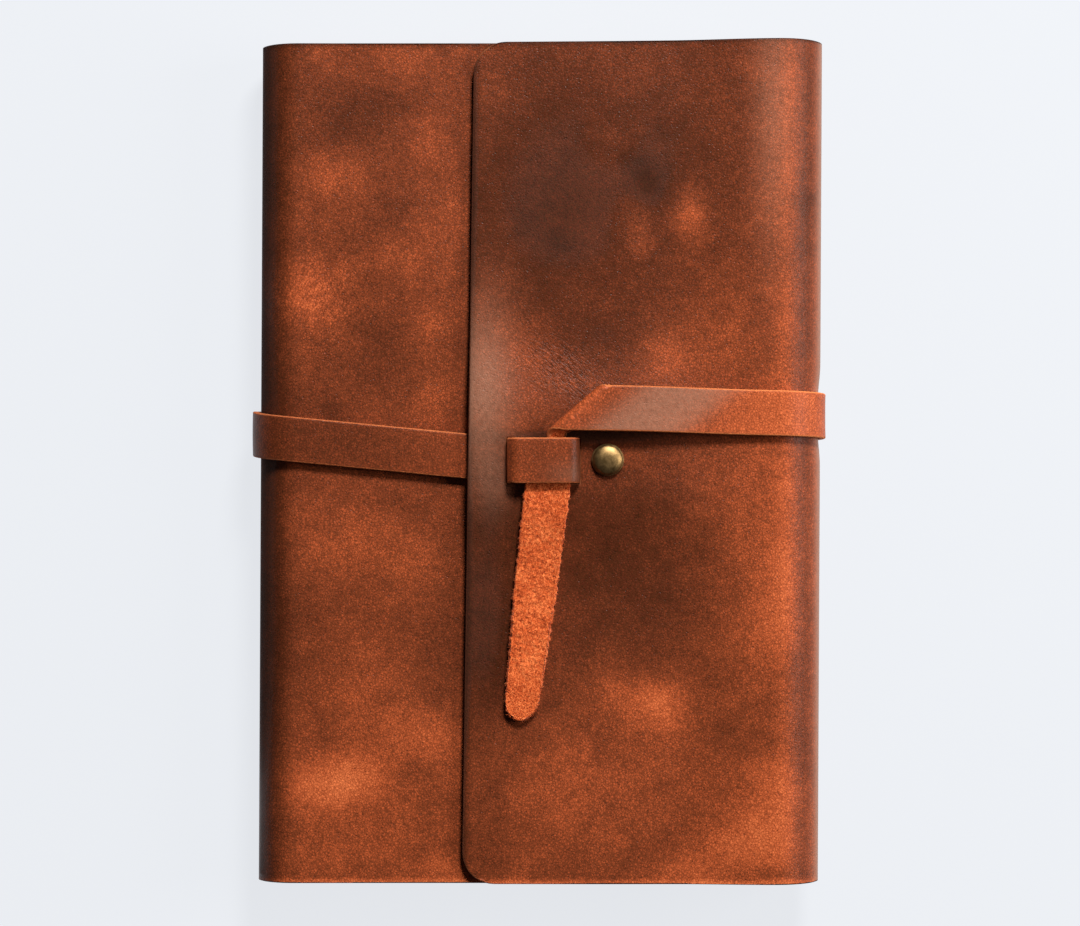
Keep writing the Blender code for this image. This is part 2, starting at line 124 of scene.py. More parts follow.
@dataclass(frozen=True)
class EdgeShape:
    """The section of a cut edge, from the upper face to the lower one.

    Each point is an inset from the outline and a depth below the upper face.
    """

    insets: tuple[float, ...]
    depths: tuple[float, ...]

    @classmethod
    def rounded(cls, thickness: float, radius: float, steps: int = 3) -> "EdgeShape":
        """A square edge whose two corners are quarter circles.

        Args:
            thickness: distance between the faces.
            radius: radius of the quarter circles.
            steps: points on each quarter circle.

        Returns:
            The shape.
        """
        turn = np.linspace(0.0, math.pi / 2, steps)
        inset = radius * (1.0 - np.sin(turn))
        depth = radius * (1.0 - np.cos(turn))
        return cls(
            tuple(np.concatenate([inset, inset[::-1]])),
            tuple(np.concatenate([depth, thickness - depth[::-1]])),
        )

    @classmethod
    def leaves(cls, thickness: float, count: int, groove: float) -> "EdgeShape":
        """The edge of a stack of leaves: a shallow groove between every two leaves."""
        depths = np.linspace(0.0, thickness, 2 * count + 1)
        insets = np.where(np.arange(2 * count + 1) % 2, 0.0, groove)
        return cls(tuple(insets), tuple(depths))


@dataclass
class Sheet:
    """A grid of points on the upper face of a sheet, with what is needed to make it solid.

    The grid's first axis runs along the sheet and its second across it.
    """

    top: np.ndarray
    flat: np.ndarray
    edge: EdgeShape
    facing: tuple[float, float, float] | np.ndarray = (0.0, 0.0, 1.0)
    seam: np.ndarray | None = None
    kept: np.ndarray | None = None
    tone: np.ndarray | None = None
    crease: np.ndarray | None = None
    # Share of painted grey sheen at each point.
    painted_sheen: np.ndarray | None = None

    def _turned(self) -> None:
        """Reverse the grid's second axis where its normals would point inwards."""
        if np.sum(grid_normals(self.top) * self.facing) >= 0:
            return
        for name in ("top", "flat", "seam", "kept", "tone", "crease", "painted_sheen"):
            grid = getattr(self, name)
            if grid is not None:
                setattr(self, name, grid[:, ::-1].copy())

    def build(self, name: str) -> bpy.types.Object:
        """Make the solid: both faces, and the edge shape carried round every open border.

        A lower point is its upper point moved back along the normal by the thickness. A border point
        moves in by the edge shape's inset along the in-plane normal of the border, and down by its depth.
        Borders marked as seams are cut square, so that two pieces meet flush.

        Args:
            name: name of the object.

        Returns:
            The object, with its flat place, tone, crease and painted sheen stored on its points.
        """
        self._turned()
        rows, columns = self.top.shape[:2]
        count = rows * columns
        points = self.top.reshape(-1, 3)
        normals = grid_normals(self.top).reshape(-1, 3)
        seam = np.zeros(count, bool) if self.seam is None else self.seam.reshape(-1)
        index = np.arange(count).reshape(rows, columns)
        cells = np.stack([index[:-1, :-1], index[1:, :-1], index[1:, 1:], index[:-1, 1:]], -1)
        quads = cells.reshape(-1, 4) if self.kept is None else cells[self.kept]

        first = quads.ravel()
        second = np.roll(quads, -1, axis=1).ravel()
        border = ~np.isin(first * count + second, second * count + first)
        first, second = first[border], second[border]
        sealed = seam[first] & seam[second]
        push = np.cross(normals[first], unit(points[second] - points[first]))[~sealed]
        inward = np.zeros_like(points)
        shares = np.zeros((count, 1))
        for ends in (first[~sealed], second[~sealed]):
            np.add.at(inward, ends, push)
            np.add.at(shares, ends, 1.0)
        inward *= shares / np.maximum(np.sum(inward**2, axis=1, keepdims=True), 0.7)

        rim = np.unique(np.concatenate([first, second]))
        place = np.full(count, -1)
        place[rim] = np.arange(len(rim))
        insets, depths = self.edge.insets, self.edge.depths
        layers = [points + inward * insets[0]]
        layers.append(points + inward * insets[-1] - normals * depths[-1])
        for inset, depth in zip(insets[1:-1], depths[1:-1]):
            layers.append(points[rim] + inward[rim] * inset - normals[rim] * depth)
        sources = [np.arange(count), np.arange(count)] + [rim] * (len(insets) - 2)
        drops = [np.zeros(count), np.full(count, depths[-1])]
        drops += [np.full(len(rim), depth) for depth in depths[1:-1]]

        def ring(step: int, ends: np.ndarray) -> np.ndarray:
            """Point numbers of the edge shape's step below some border points."""
            if step == 0:
                return ends
            if step == len(insets) - 1:
                return ends + count
            return 2 * count + (step - 1) * len(rim) + place[ends]

        faces = [quads, quads[:, ::-1] + count]
        kinds = [np.full(len(quads), Side.GRAIN.value), np.full(len(quads), Side.FLESH.value)]
        smooth = [np.ones(len(quads), bool)] * 2
        for step in range(len(insets) - 1):
            wall = [ring(step, first), ring(step + 1, first), ring(step + 1, second), ring(step, second)]
            faces.append(np.stack(wall, -1))
            kinds.append(np.full(len(first), Side.EDGE.value))
            smooth.append(~sealed)

        source = np.concatenate(sources)
        flat = np.column_stack([self.flat.reshape(-1, 2)[source], -np.concatenate(drops)])
        stored = {"hide": flat * MM}
        for key in ("tone", "crease", "painted_sheen"):
            grid = getattr(self, key)
            stored[key] = np.zeros(len(source)) if grid is None else grid.ravel()[source]
        return write_mesh(
            name,
            np.concatenate(layers),
            np.concatenate(faces),
            np.concatenate(kinds),
            np.concatenate(smooth),
            stored,
        )


def write_mesh(
    name: str,
    points: np.ndarray,
    quads: np.ndarray,
    kinds: np.ndarray,
    smooth: np.ndarray,
    stored: dict[str, np.ndarray],
) -> bpy.types.Object:
    """Write a mesh of four-cornered faces, leaving out points that no face uses.

    Args:
        name: name of the object and mesh.
        points: corner points in millimetres.
        quads: four point numbers a face.
        kinds: material number of each face.
        smooth: whether each face is shaded smooth.
        stored: values to keep on the points, three a point or one.

    Returns:
        The new object, linked to the scene.
    """
    used = np.unique(quads)
    renumber = np.zeros(len(points), np.int64)
    renumber[used] = np.arange(len(used))
    corners_flat = renumber[quads].astype(np.int32).ravel()
    mesh = bpy.data.meshes.new(name)
    mesh.vertices.add(len(used))
    mesh.vertices.foreach_set("co", (points[used] * MM).astype(np.float32).ravel())
    mesh.loops.add(len(corners_flat))
    mesh.loops.foreach_set("vertex_index", corners_flat)
    mesh.polygons.add(len(quads))
    mesh.polygons.foreach_set("loop_start", np.arange(0, len(corners_flat), 4, dtype=np.int32))
    mesh.polygons.foreach_set("material_index", kinds.astype(np.int32))
    mesh.polygons.foreach_set("use_smooth", smooth)
    mesh.update(calc_edges=True)
    for key, values in stored.items():
        vector = values.ndim == 2
        layer = mesh.attributes.new(key, "FLOAT_VECTOR" if vector else "FLOAT", "POINT")
        layer.data.foreach_set("vector" if vector else "value", values[used].astype(np.float32).ravel())
    mesh.validate()
    made = bpy.data.objects.new(name, mesh)
    bpy.context.scene.collection.objects.link(made)
    return made


@dataclass(frozen=True)
class Track:
    """A section in the xz plane, made of stretches of constant curvature laid end to end.

    Along a stretch the heading grows by curvature times distance, and the place is the integral of the
    heading: a straight line where the curvature is zero, and an arc of a circle otherwise.
    """

    start: tuple[float, float]
    heading: float
    stretches: tuple[tuple[float, float], ...]

    @property
    def length(self) -> float:
        """Length of the whole section."""
        return sum(length for length, _ in self.stretches)

    def at(self, distance: np.ndarray) -> tuple[np.ndarray, np.ndarray]:
        """Places and left-hand normals at some distances from the start.

        Args:
            distance: distances along the section; the ends run on straight or round.

        Returns:
            Two arrays with a last axis of x and z.
        """
        distance = np.asarray(distance, float)
        place = np.zeros(distance.shape + (2,))
        normal = np.zeros_like(place)
        x, z = self.start
        heading, begun = self.heading, 0.0
        for number, (length, curve) in enumerate(self.stretches):
            here = distance >= begun if number else np.ones(distance.shape, bool)
            run = distance[here] - begun
            turned = heading + curve * run
            if curve:
                dx = (np.sin(turned) - math.sin(heading)) / curve
                dz = (math.cos(heading) - np.cos(turned)) / curve
            else:
                dx, dz = run * math.cos(heading), run * math.sin(heading)
            place[here] = np.stack([x + dx, z + dz], -1)
            normal[here] = np.stack([-np.sin(turned), np.cos(turned)], -1)
            after = heading + curve * length
            if curve:
                x += (math.sin(after) - math.sin(heading)) / curve
                z += (math.cos(heading) - math.cos(after)) / curve
            else:
                x, z = x + length * math.cos(heading), z + length * math.sin(heading)
            heading, begun = after, begun + length
        return place, normal


class Recipe:
    """A material being put together: a node tree with short calls for the nodes that leather needs."""

    def __init__(self, name: str) -> None:
        """Start a material with its shader."""
        self.material = bpy.data.materials.new(name)
        self.material.use_nodes = True
        self.nodes = self.material.node_tree.nodes
        self.links = self.material.node_tree.links
        self.shader = self.nodes["Principled BSDF"]

    def feed(self, socket: bpy.types.NodeSocket, value: object) -> None:
        """Link an output to a socket, or set the socket's own value."""
        if isinstance(value, bpy.types.NodeSocket):
            self.links.new(value, socket)
        else:
            socket.default_value = value

    def stored(self, name: str, output: str) -> bpy.types.NodeSocket:
        """Read a value that is stored on the piece's points."""
        node = self.nodes.new("ShaderNodeAttribute")
        node.attribute_name = name
        return node.outputs[output]

    def hide_place(self) -> bpy.types.NodeSocket:
        """The place on the flat hide, in millimetres."""
        return self.scaled(self.stored("hide", "Vector"), (1000.0, 1000.0, 1000.0))

    def object_place(self) -> bpy.types.NodeSocket:
        """The place on the object, in millimetres."""
        node = self.nodes.new("ShaderNodeTexCoord")
        return self.scaled(node.outputs["Object"], (1000.0, 1000.0, 1000.0))

    def scaled(self, place: bpy.types.NodeSocket, by: tuple[float, float, float]) -> bpy.types.NodeSocket:
        """Stretch a place along its axes."""
        node = self.nodes.new("ShaderNodeVectorMath")
        node.operation = "MULTIPLY"
        self.feed(node.inputs[0], place)
        self.feed(node.inputs[1], by)
        return node.outputs[0]

    def turned(self, place: bpy.types.NodeSocket, degrees: float) -> bpy.types.NodeSocket:
        """Turn a place about the upright axis."""
        node = self.nodes.new("ShaderNodeVectorRotate")
        node.rotation_type = "Z_AXIS"
        self.feed(node.inputs["Vector"], place)
        self.feed(node.inputs["Angle"], math.radians(degrees))
        return node.outputs["Vector"]

    def cloud(
        self,
        place: bpy.types.NodeSocket,
        size: float,
        detail: float = 2.0,
        rough: float = 0.5,
        warp: float = 0.0,
    ) -> bpy.types.NodeSocket:
        """Soft noise whose blobs are about the given size in millimetres, around 0.5."""
        node = self.nodes.new("ShaderNodeTexNoise")
        self.feed(node.inputs["Vector"], place)
        self.feed(node.inputs["Scale"], 1.0 / size)
        self.feed(node.inputs["Detail"], detail)
        self.feed(node.inputs["Roughness"], rough)
        self.feed(node.inputs["Distortion"], warp)
        return node.outputs["Fac"]

    def cells(self, place: bpy.types.NodeSocket, size: float, to_edge: bool = False) -> bpy.types.NodeSocket:
        """Distance to the nearest cell centre, or to the nearest cell border."""
        node = self.nodes.new("ShaderNodeTexVoronoi")
        node.feature = "DISTANCE_TO_EDGE" if to_edge else "F1"
        self.feed(node.inputs["Vector"], place)
        self.feed(node.inputs["Scale"], 1.0 / size)
        return node.outputs["Distance"]

    def sum(self, a: object, b: object) -> bpy.types.NodeSocket:
        """Add two values."""
        return self.maths("ADD", a, b)

    def times(self, a: object, b: object) -> bpy.types.NodeSocket:
        """Multiply two values."""
        return self.maths("MULTIPLY", a, b)

    def maths(self, operation: str, a: object, b: object = 0.0) -> bpy.types.NodeSocket:
        """Work out one sum on two values."""
        node = self.nodes.new("ShaderNodeMath")
        node.operation = operation
        self.feed(node.inputs[0], a)
        self.feed(node.inputs[1], b)
        return node.outputs[0]

    def spread(
        self, value: object, old: tuple[float, float], new: tuple[float, float]
    ) -> bpy.types.NodeSocket:
        """Map a range of values to another, clamped at its ends."""
        node = self.nodes.new("ShaderNodeMapRange")
        self.feed(node.inputs["Value"], value)
        self.feed(node.inputs["From Min"], old[0])
        self.feed(node.inputs["From Max"], old[1])
        self.feed(node.inputs["To Min"], new[0])
        self.feed(node.inputs["To Max"], new[1])
        return node.outputs["Result"]

    def shades(self, value: object, stops: tuple[tuple[float, Colour], ...]) -> bpy.types.NodeSocket:
        """Turn a value from 0 to 1 into a colour through some stops."""
        node = self.nodes.new("ShaderNodeValToRGB")
        ramp = node.color_ramp
        while len(ramp.elements) < len(stops):
            ramp.elements.new(0.5)
        for element, (position, colour) in zip(ramp.elements, stops):
            element.position = position
            element.color = (*colour, 1.0)
        self.feed(node.inputs["Fac"], value)
        return node.outputs["Color"]

    def blend(self, share: object, a: object, b: object, mode: str = "MIX") -> bpy.types.NodeSocket:
        """Mix two colours."""
        node = self.nodes.new("ShaderNodeMix")
        node.data_type = "RGBA"
        node.blend_type = mode
        self.feed(node.inputs["Factor"], share)
        for socket, value in zip([s for s in node.inputs if s.type == "RGBA"], (a, b)):
            self.feed(socket, value)
        return next(s for s in node.outputs if s.type == "RGBA")

    def relief(self, height: object, millimetres: float, under: object = None) -> bpy.types.NodeSocket:
        """Turn a height from 0 to 1 into a bumped normal."""
        node = self.nodes.new("ShaderNodeBump")
        self.feed(node.inputs["Distance"], millimetres * MM)
        self.feed(node.inputs["Height"], height)
        if under is not None:
            self.feed(node.inputs["Normal"], under)
        return node.outputs["Normal"]

    def finish(
        self, colour: object, roughness: object, normal: object = None, **constants: float
    ) -> bpy.types.Material:
        """Wire the shader and give back the material.

        Args:
            colour: base colour, a socket or four numbers.
            roughness: roughness, a socket or a number.
            normal: bumped normal, if any.
            constants: numbers for the shader's other sockets, named with underscores for spaces.

        Returns:
            The material.
        """
        self.feed(self.shader.inputs["Base Color"], colour)
        self.feed(self.shader.inputs["Roughness"], roughness)
        if normal is not None:
            self.feed(self.shader.inputs["Normal"], normal)
        for name, value in constants.items():
            self.shader.inputs[name.replace("_", " ")].default_value = value
        return self.material


@dataclass(frozen=True)
class PullUpGrain:
    """The oiled grain side: dark where the oil sits, lighter where pulled or rubbed, plus painted light,
    shade and sheen.
    """

    name: str = "pull_up_grain"
    deep: Colour = (0.023, 0.005, 0.002)
    dark: Colour = (0.078, 0.016, 0.006)
    middle: Colour = (0.186, 0.037, 0.012)
    light: Colour = (0.385, 0.074, 0.022)
    pulled: Colour = (0.690, 0.168, 0.053)
    # Grey of the painted sheen, mixed in where the leather would catch a highlight.
    painted_sheen_colour: Colour = (0.270, 0.128, 0.080)
    oily: Colour = (0.085, 0.029, 0.008)
    mottle: float = 0.55
    roughness: tuple[float, float] = (0.33, 0.46)
    pebble: float = 0.075

    def material(self) -> bpy.types.Material:
        """Mix the finish.

        The tone is the stored broad tone, painted shade and highlights included, plus clouds of four sizes,
        less the gaps between the pebbles and the pores. Colour runs through five shades of the tone, with
        oil in the gaps, under a painted grey sheen where the stored sheen share is set. The relief is fine
        pebbling, pores and, where the hide is creased, short wrinkles. Where the stored tone is darkest, as
        in the spine's painted shade, the surface is rougher.

        Returns:
            The material.
        """
        mix = Recipe(self.name)
        place = mix.hide_place()
        broad = mix.cloud(place, 21.0, 3.0, 0.55, 0.6)
        patch = mix.cloud(place, 6.5, 4.0, 0.6, 0.8)
        fleck = mix.cloud(mix.scaled(place, (1.0, 0.72, 1.0)), 1.15, 3.0, 0.6)
        pebble = mix.cells(mix.scaled(place, (1.0, 0.82, 1.0)), 0.62, True)
        fine = mix.cloud(place, 0.48, 1.5, 0.6)
        cell = mix.cells(mix.scaled(place, (1.0, 0.85, 1.0)), 0.64, True)
        gap = mix.spread(cell, (0.02, 0.24), (1.0, 0.0))
        pore = mix.cells(mix.scaled(place, (0.8, 1.0, 1.0)), 0.95)
        pit = mix.spread(pore, (0.10, 0.24), (1.0, 0.0))
        crease = mix.stored("crease", "Fac")
        rising = mix.cloud(mix.scaled(mix.turned(place, 62.0), (0.55, 1.9, 1.0)), 1.35, 2.0, 0.55, 1.0)
        falling = mix.cloud(mix.scaled(mix.turned(place, -40.0), (0.45, 1.9, 1.0)), 1.5, 2.0, 0.55, 1.2)
        ridge = mix.sum(
            mix.times(mix.maths("SUBTRACT", rising, 0.5), mix.maths("MAXIMUM", mix.times(crease, -1.0), 0.0)),
            mix.times(mix.maths("SUBTRACT", falling, 0.5), mix.maths("MAXIMUM", crease, 0.0)),
        )

        placed = mix.stored("tone", "Fac")
        tone = placed
        clouds = ((broad, 1.5 * self.mottle), (patch, 1.6 * self.mottle), (fleck, 0.95), (fine, 1.35))
        for cloud, share in clouds:
            tone = mix.sum(tone, mix.times(mix.maths("SUBTRACT", cloud, 0.5), share))
        for hollow, share in ((gap, -0.36), (pit, -0.30)):
            tone = mix.sum(tone, mix.times(hollow, share))
        tone = mix.sum(tone, ridge)
        colour = mix.shades(
            mix.spread(tone, (-1.4, 1.4), (0.0, 1.0)),
            ((0.0, self.deep), (0.28, self.dark), (0.5, self.middle), (0.70, self.light), (1.0, self.pulled)),
        )
        colour = mix.blend(mix.times(gap, 0.26), colour, (*self.oily, 1.0))
        # Painted sheen: grey mixed into the colour where the stored sheen share is set.
        painted_sheen = mix.times(mix.stored("painted_sheen", "Fac"), mix.spread(fleck, (0.3, 0.6), (0.75, 1.1)))
        colour = mix.blend(painted_sheen, colour, (*self.painted_sheen_colour, 1.0))
        height = mix.times(mix.spread(pebble, (0.0, 0.30), (0.0, 1.0)), 0.45)
        for part, share in ((fine, 0.35), (pit, -0.55), (fleck, 0.55), (ridge, 2.2)):
            height = mix.sum(height, mix.times(part, share))
        rough = mix.spread(mix.sum(tone, mix.times(fleck, 0.6)), (-0.9, 1.3), self.roughness)
        rough = mix.sum(rough, mix.spread(placed, (-1.0, -0.60), (0.50, 0.0)))
        return mix.finish(colour, rough, mix.relief(height, self.pebble), IOR=1.38, Specular_IOR_Level=0.16)


@dataclass(frozen=True)
class RawFlesh:
    """The flesh side: bright, matt and fibrous, with a nap that lies in streaks."""

    name: str = "raw_flesh"
    dark: Colour = (0.210, 0.024, 0.005)
    middle: Colour = (0.520, 0.082, 0.016)
    light: Colour = (0.900, 0.250, 0.075)
    nap: float = 0.30

    def material(self) -> bpy.types.Material:
        """Mix the finish: tufty fibre noise of two sizes for colour and relief.

        Returns:
            The material.
        """
        mix = Recipe(self.name)
        place = mix.hide_place()
        streak = mix.cloud(mix.scaled(place, (0.85, 1.0, 1.0)), 0.95, 3.0, 0.7, 1.8)
        fluff = mix.cloud(mix.scaled(place, (0.9, 1.0, 1.0)), 0.40, 2.0, 0.7, 1.2)
        broad = mix.cloud(place, 7.0, 3.0, 0.6, 0.6)
        value = mix.sum(mix.times(streak, 0.90), mix.times(fluff, 1.00))
        value = mix.sum(value, mix.times(broad, 0.45))
        # Painted shade: dark specks for the shadows between the tufts.
        speck = mix.spread(mix.cloud(place, 0.62, 2.0, 0.7, 1.5), (0.34, 0.46), (1.0, 0.0))
        value = mix.sum(value, mix.times(speck, -0.34))
        colour = mix.shades(
            mix.spread(value, (0.82, 1.46), (0.0, 1.0)),
            ((0.0, self.dark), (0.48, self.middle), (1.0, self.light)),
        )
        height = mix.sum(mix.times(streak, 0.8), mix.times(fluff, 0.6))
        return mix.finish(
            colour, 0.94, mix.relief(height, self.nap), Sheen_Weight=0.08, Specular_IOR_Level=0.1
        )


@dataclass(frozen=True)
class CutEdge:
    """A knife-cut edge: compressed fibres in streaks along the sheet."""

    name: str
    dark: Colour
    light: Colour

    def material(self) -> bpy.types.Material:
        """Mix the finish.

        Returns:
            The material.
        """
        mix = Recipe(self.name)
        place = mix.hide_place()
        streak = mix.cloud(mix.scaled(place, (0.5, 0.5, 3.2)), 0.55, 4.0, 0.7, 0.6)
        fibre = mix.cloud(place, 0.25, 3.0, 0.8)
        value = mix.sum(mix.times(streak, 0.9), mix.times(fibre, 0.5))
        # The stored tone carries onto the cut edge, with the painted shade and highlights placed in it.
        value = mix.sum(value, mix.times(mix.stored("tone", "Fac"), 0.30))
        colour = mix.shades(mix.spread(value, (0.42, 1.0), (0.0, 1.0)), ((0.0, self.dark), (1.0, self.light)))
        return mix.finish(colour, 0.82, mix.relief(value, 0.16), IOR=1.4, Specular_IOR_Level=0.2)


@dataclass(frozen=True)
class AgedBrass:
    """Antique brass plate: warm brass clouded with brown patina, pinholed and finely scratched."""

    name: str = "antique_brass"
    low: Colour = (0.130, 0.078, 0.028)
    high: Colour = (0.400, 0.252, 0.105)

    def material(self) -> bpy.types.Material:
        """Mix the finish: patina clouds, pinholes and scratches that change colour and roughness.

        Returns:
            The material.
        """
        mix = Recipe(self.name)
        place = mix.object_place()
        patina = mix.cloud(place, 2.2, 4.0, 0.65, 0.5)
        speck = mix.cloud(place, 0.28, 2.0, 0.7)
        scratch = mix.cloud(mix.scaled(place, (0.5, 4.5, 1.0)), 0.5, 3.0, 0.7, 0.4)
        wear = mix.sum(mix.times(patina, 0.9), mix.times(speck, 0.35))
        colour = mix.shades(mix.spread(wear, (0.40, 0.90), (0.0, 1.0)), ((0.0, self.low), (1.0, self.high)))
        rough = mix.spread(mix.sum(patina, mix.times(scratch, 0.5)), (0.45, 1.05), (0.36, 0.54))
        return mix.finish(colour, rough, mix.relief(mix.sum(scratch, speck), 0.012), Metallic=1.0)


@dataclass(frozen=True)
class Fibrous:
    """A matt fibre stock, such as paper, kraft card, book linen or thin lining leather."""

    name: str
    dark: Colour
    light: Colour
    size: float = 0.5
    relief: float = 0.03
    weave: float = 0.0
    roughness: float = 0.9

    def material(self) -> bpy.types.Material:
        """Mix the finish: fibres of two sizes, broad toning, and an even weave where there is one.

        Returns:
            The material.
        """
        mix = Recipe(self.name)
        place = mix.hide_place()
        fibre = mix.cloud(mix.scaled(place, (1.0, 0.45, 1.0)), self.size, 4.0, 0.7, 0.8)
        broad = mix.cloud(place, self.size * 30, 3.0, 0.5)
        value = mix.sum(mix.times(fibre, 0.7), mix.times(broad, 0.4))
        if self.weave:
            node = mix.nodes.new("ShaderNodeTexWave")
            node.bands_direction = "Y"
            mix.feed(node.inputs["Vector"], place)
            mix.feed(node.inputs["Scale"], 0.3 / self.weave)
            value = mix.sum(value, mix.times(node.outputs["Fac"], 0.25))
        share = mix.spread(value, (0.35, 0.85), (0.0, 1.0))
        colour = mix.shades(share, ((0.0, self.dark), (1.0, self.light)))
        return mix.finish(colour, self.roughness, mix.relief(value, self.relief), IOR=1.4)


class Finishes:
    """Every finish of the object, each mixed once."""

    def __init__(self) -> None:
        """Mix them all."""
        self.grain = PullUpGrain().material()
        self.strap_grain = PullUpGrain(
            name="strap_grain", mottle=0.30, pebble=0.06, roughness=(0.32, 0.44)
        ).material()
        self.flesh = RawFlesh().material()
        self.hide_edge = CutEdge("hide_cut_edge", (0.060, 0.015, 0.006), (0.360, 0.105, 0.034)).material()
        self.strap_edge = CutEdge("strap_cut_edge", (0.200, 0.040, 0.012), (0.560, 0.160, 0.050)).material()
        self.brass = AgedBrass().material()
        self.sleeve = Fibrous(
            "sleeve_leather", (0.20, 0.075, 0.032), (0.40, 0.165, 0.075), 0.7, 0.05, roughness=0.75
        ).material()
        self.card = Fibrous("kraft_card", (0.30, 0.20, 0.115), (0.52, 0.37, 0.225), 0.6, 0.03).material()
        self.paper = Fibrous("ivory_paper", (0.66, 0.60, 0.49), (0.84, 0.79, 0.68), 0.4, 0.015).material()
        self.linen = Fibrous("book_linen", (0.46, 0.42, 0.35), (0.72, 0.68, 0.60), 0.5, 0.06, 0.5).material()

    def leather(self) -> tuple[bpy.types.Material, ...]:
        """Grain, flesh and edge of the cover's own hide."""
        return self.grain, self.flesh, self.hide_edge

    def strap(self) -> tuple[bpy.types.Material, ...]:
        """Grain, flesh and edge of the strap."""
        return self.strap_grain, self.flesh, self.strap_edge


def dress(piece: bpy.types.Object, materials: tuple[bpy.types.Material, ...]) -> None:
    """Give a piece its materials, one for each kind of face.

    Args:
        piece: the piece.
        materials: materials for grain, flesh and edge faces, or one for all.
    """
    for material in materials:
        piece.data.materials.append(material)
    if len(materials) == 1:
        piece.data.polygons.foreach_set("material_index", np.zeros(len(piece.data.polygons), np.int32))


@dataclass(frozen=True)
class Crossing:
    """A bend over a hinge: the bodies on either side and the points where the bend starts and ends."""

    first: str
    second: str
    start: Vector
    end: Vector


def fit(
    piece: bpy.types.Object,
    materials: tuple[bpy.types.Material, ...],
    slot: str,
    hold: str | Crossing,
    *nodes: str,
) -> None:
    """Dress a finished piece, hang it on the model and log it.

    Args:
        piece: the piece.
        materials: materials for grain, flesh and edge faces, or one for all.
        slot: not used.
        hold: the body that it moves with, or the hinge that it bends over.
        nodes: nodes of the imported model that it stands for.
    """
    dress(piece, materials)
    if isinstance(hold, Crossing):
        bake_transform(piece)
    else:
        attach(piece, hold)
    if nodes:
        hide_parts(*nodes)
    LOG.info("%s: %d faces", piece.name, len(piece.data.polygons))


@dataclass(frozen=True)
class Mark:
    """A soft light or dark patch, tone or painted light and shade: where it is, its reach and its strength.
    """

    x: float
    y: float
    reach_x: float
    reach_y: float
    tone: float
    lean: float = 0.0

    def at(self, x: np.ndarray, y: np.ndarray) -> np.ndarray:
        """The patch's tone: a bell over an ellipse that leans by an angle in degrees."""
        turn = math.radians(self.lean)
        dx, dy = x - self.x, y - self.y
        along = dx * math.cos(turn) + dy * math.sin(turn)
        across = dy * math.cos(turn) - dx * math.sin(turn)
        return self.tone * np.exp(-((along / self.reach_x) ** 2) - (across / self.reach_y) ** 2)


FRONT_MARKS = (
    Mark(-50, 92, 14, 9, -0.40),
    Mark(-30, 88, 8, 9, 0.20),
    Mark(-35, 106, 8, 5, 0.25),
    Mark(-55, 76, 10, 6, 0.50, -12),
    Mark(-38, 70, 5, 14, -0.22),
    Mark(-24, 60, 5, 17, 0.34),
    Mark(-36, 54, 7, 5, 0.32, -25),
    Mark(-61, 43, 11, 10, 0.62),
    Mark(-47, 30, 14, 10, -0.30),
    Mark(-30, 37, 6, 7, 0.30),
    Mark(-27, 18, 6, 9, 0.30),
    Mark(-58, 14, 13, 7, -0.30),
    Mark(-52, -20, 12, 10, 0.38, 20),
    Mark(-34, -25, 9, 10, 0.28),
    Mark(-62, -42, 9, 12, -0.18),
    Mark(-26, -48, 7, 14, -0.22),
    Mark(-44, -58, 13, 8, 0.22),
    Mark(-32, -71, 11, 6, 0.50, -15),
    Mark(-53, -84, 14, 7, 0.85, 12),
    Mark(-30, -92, 12, 8, 0.18),
    Mark(-52, -103, 18, 6, 0.20),
    Mark(-24, -107, 9, 4, 0.45),
    # Painted shade: a dark band down the spine's bend, which turns away from the lamps.
    Mark(-75, 0, 7.5, 400, -0.80),
    Mark(-72, -95, 9, 20, 0.30),
    Mark(-42, -85, 30, 34, 0.22),
    # Painted shade: more of the dark band down the spine's bend.
    Mark(-74, 0, 5, 400, -0.30),
    Mark(-40, -110.2, 400, 0.9, 0.80),
    # Painted shadow: a dark line along the head edge.
    Mark(-40, 110.8, 400, 0.9, -1.10),
)
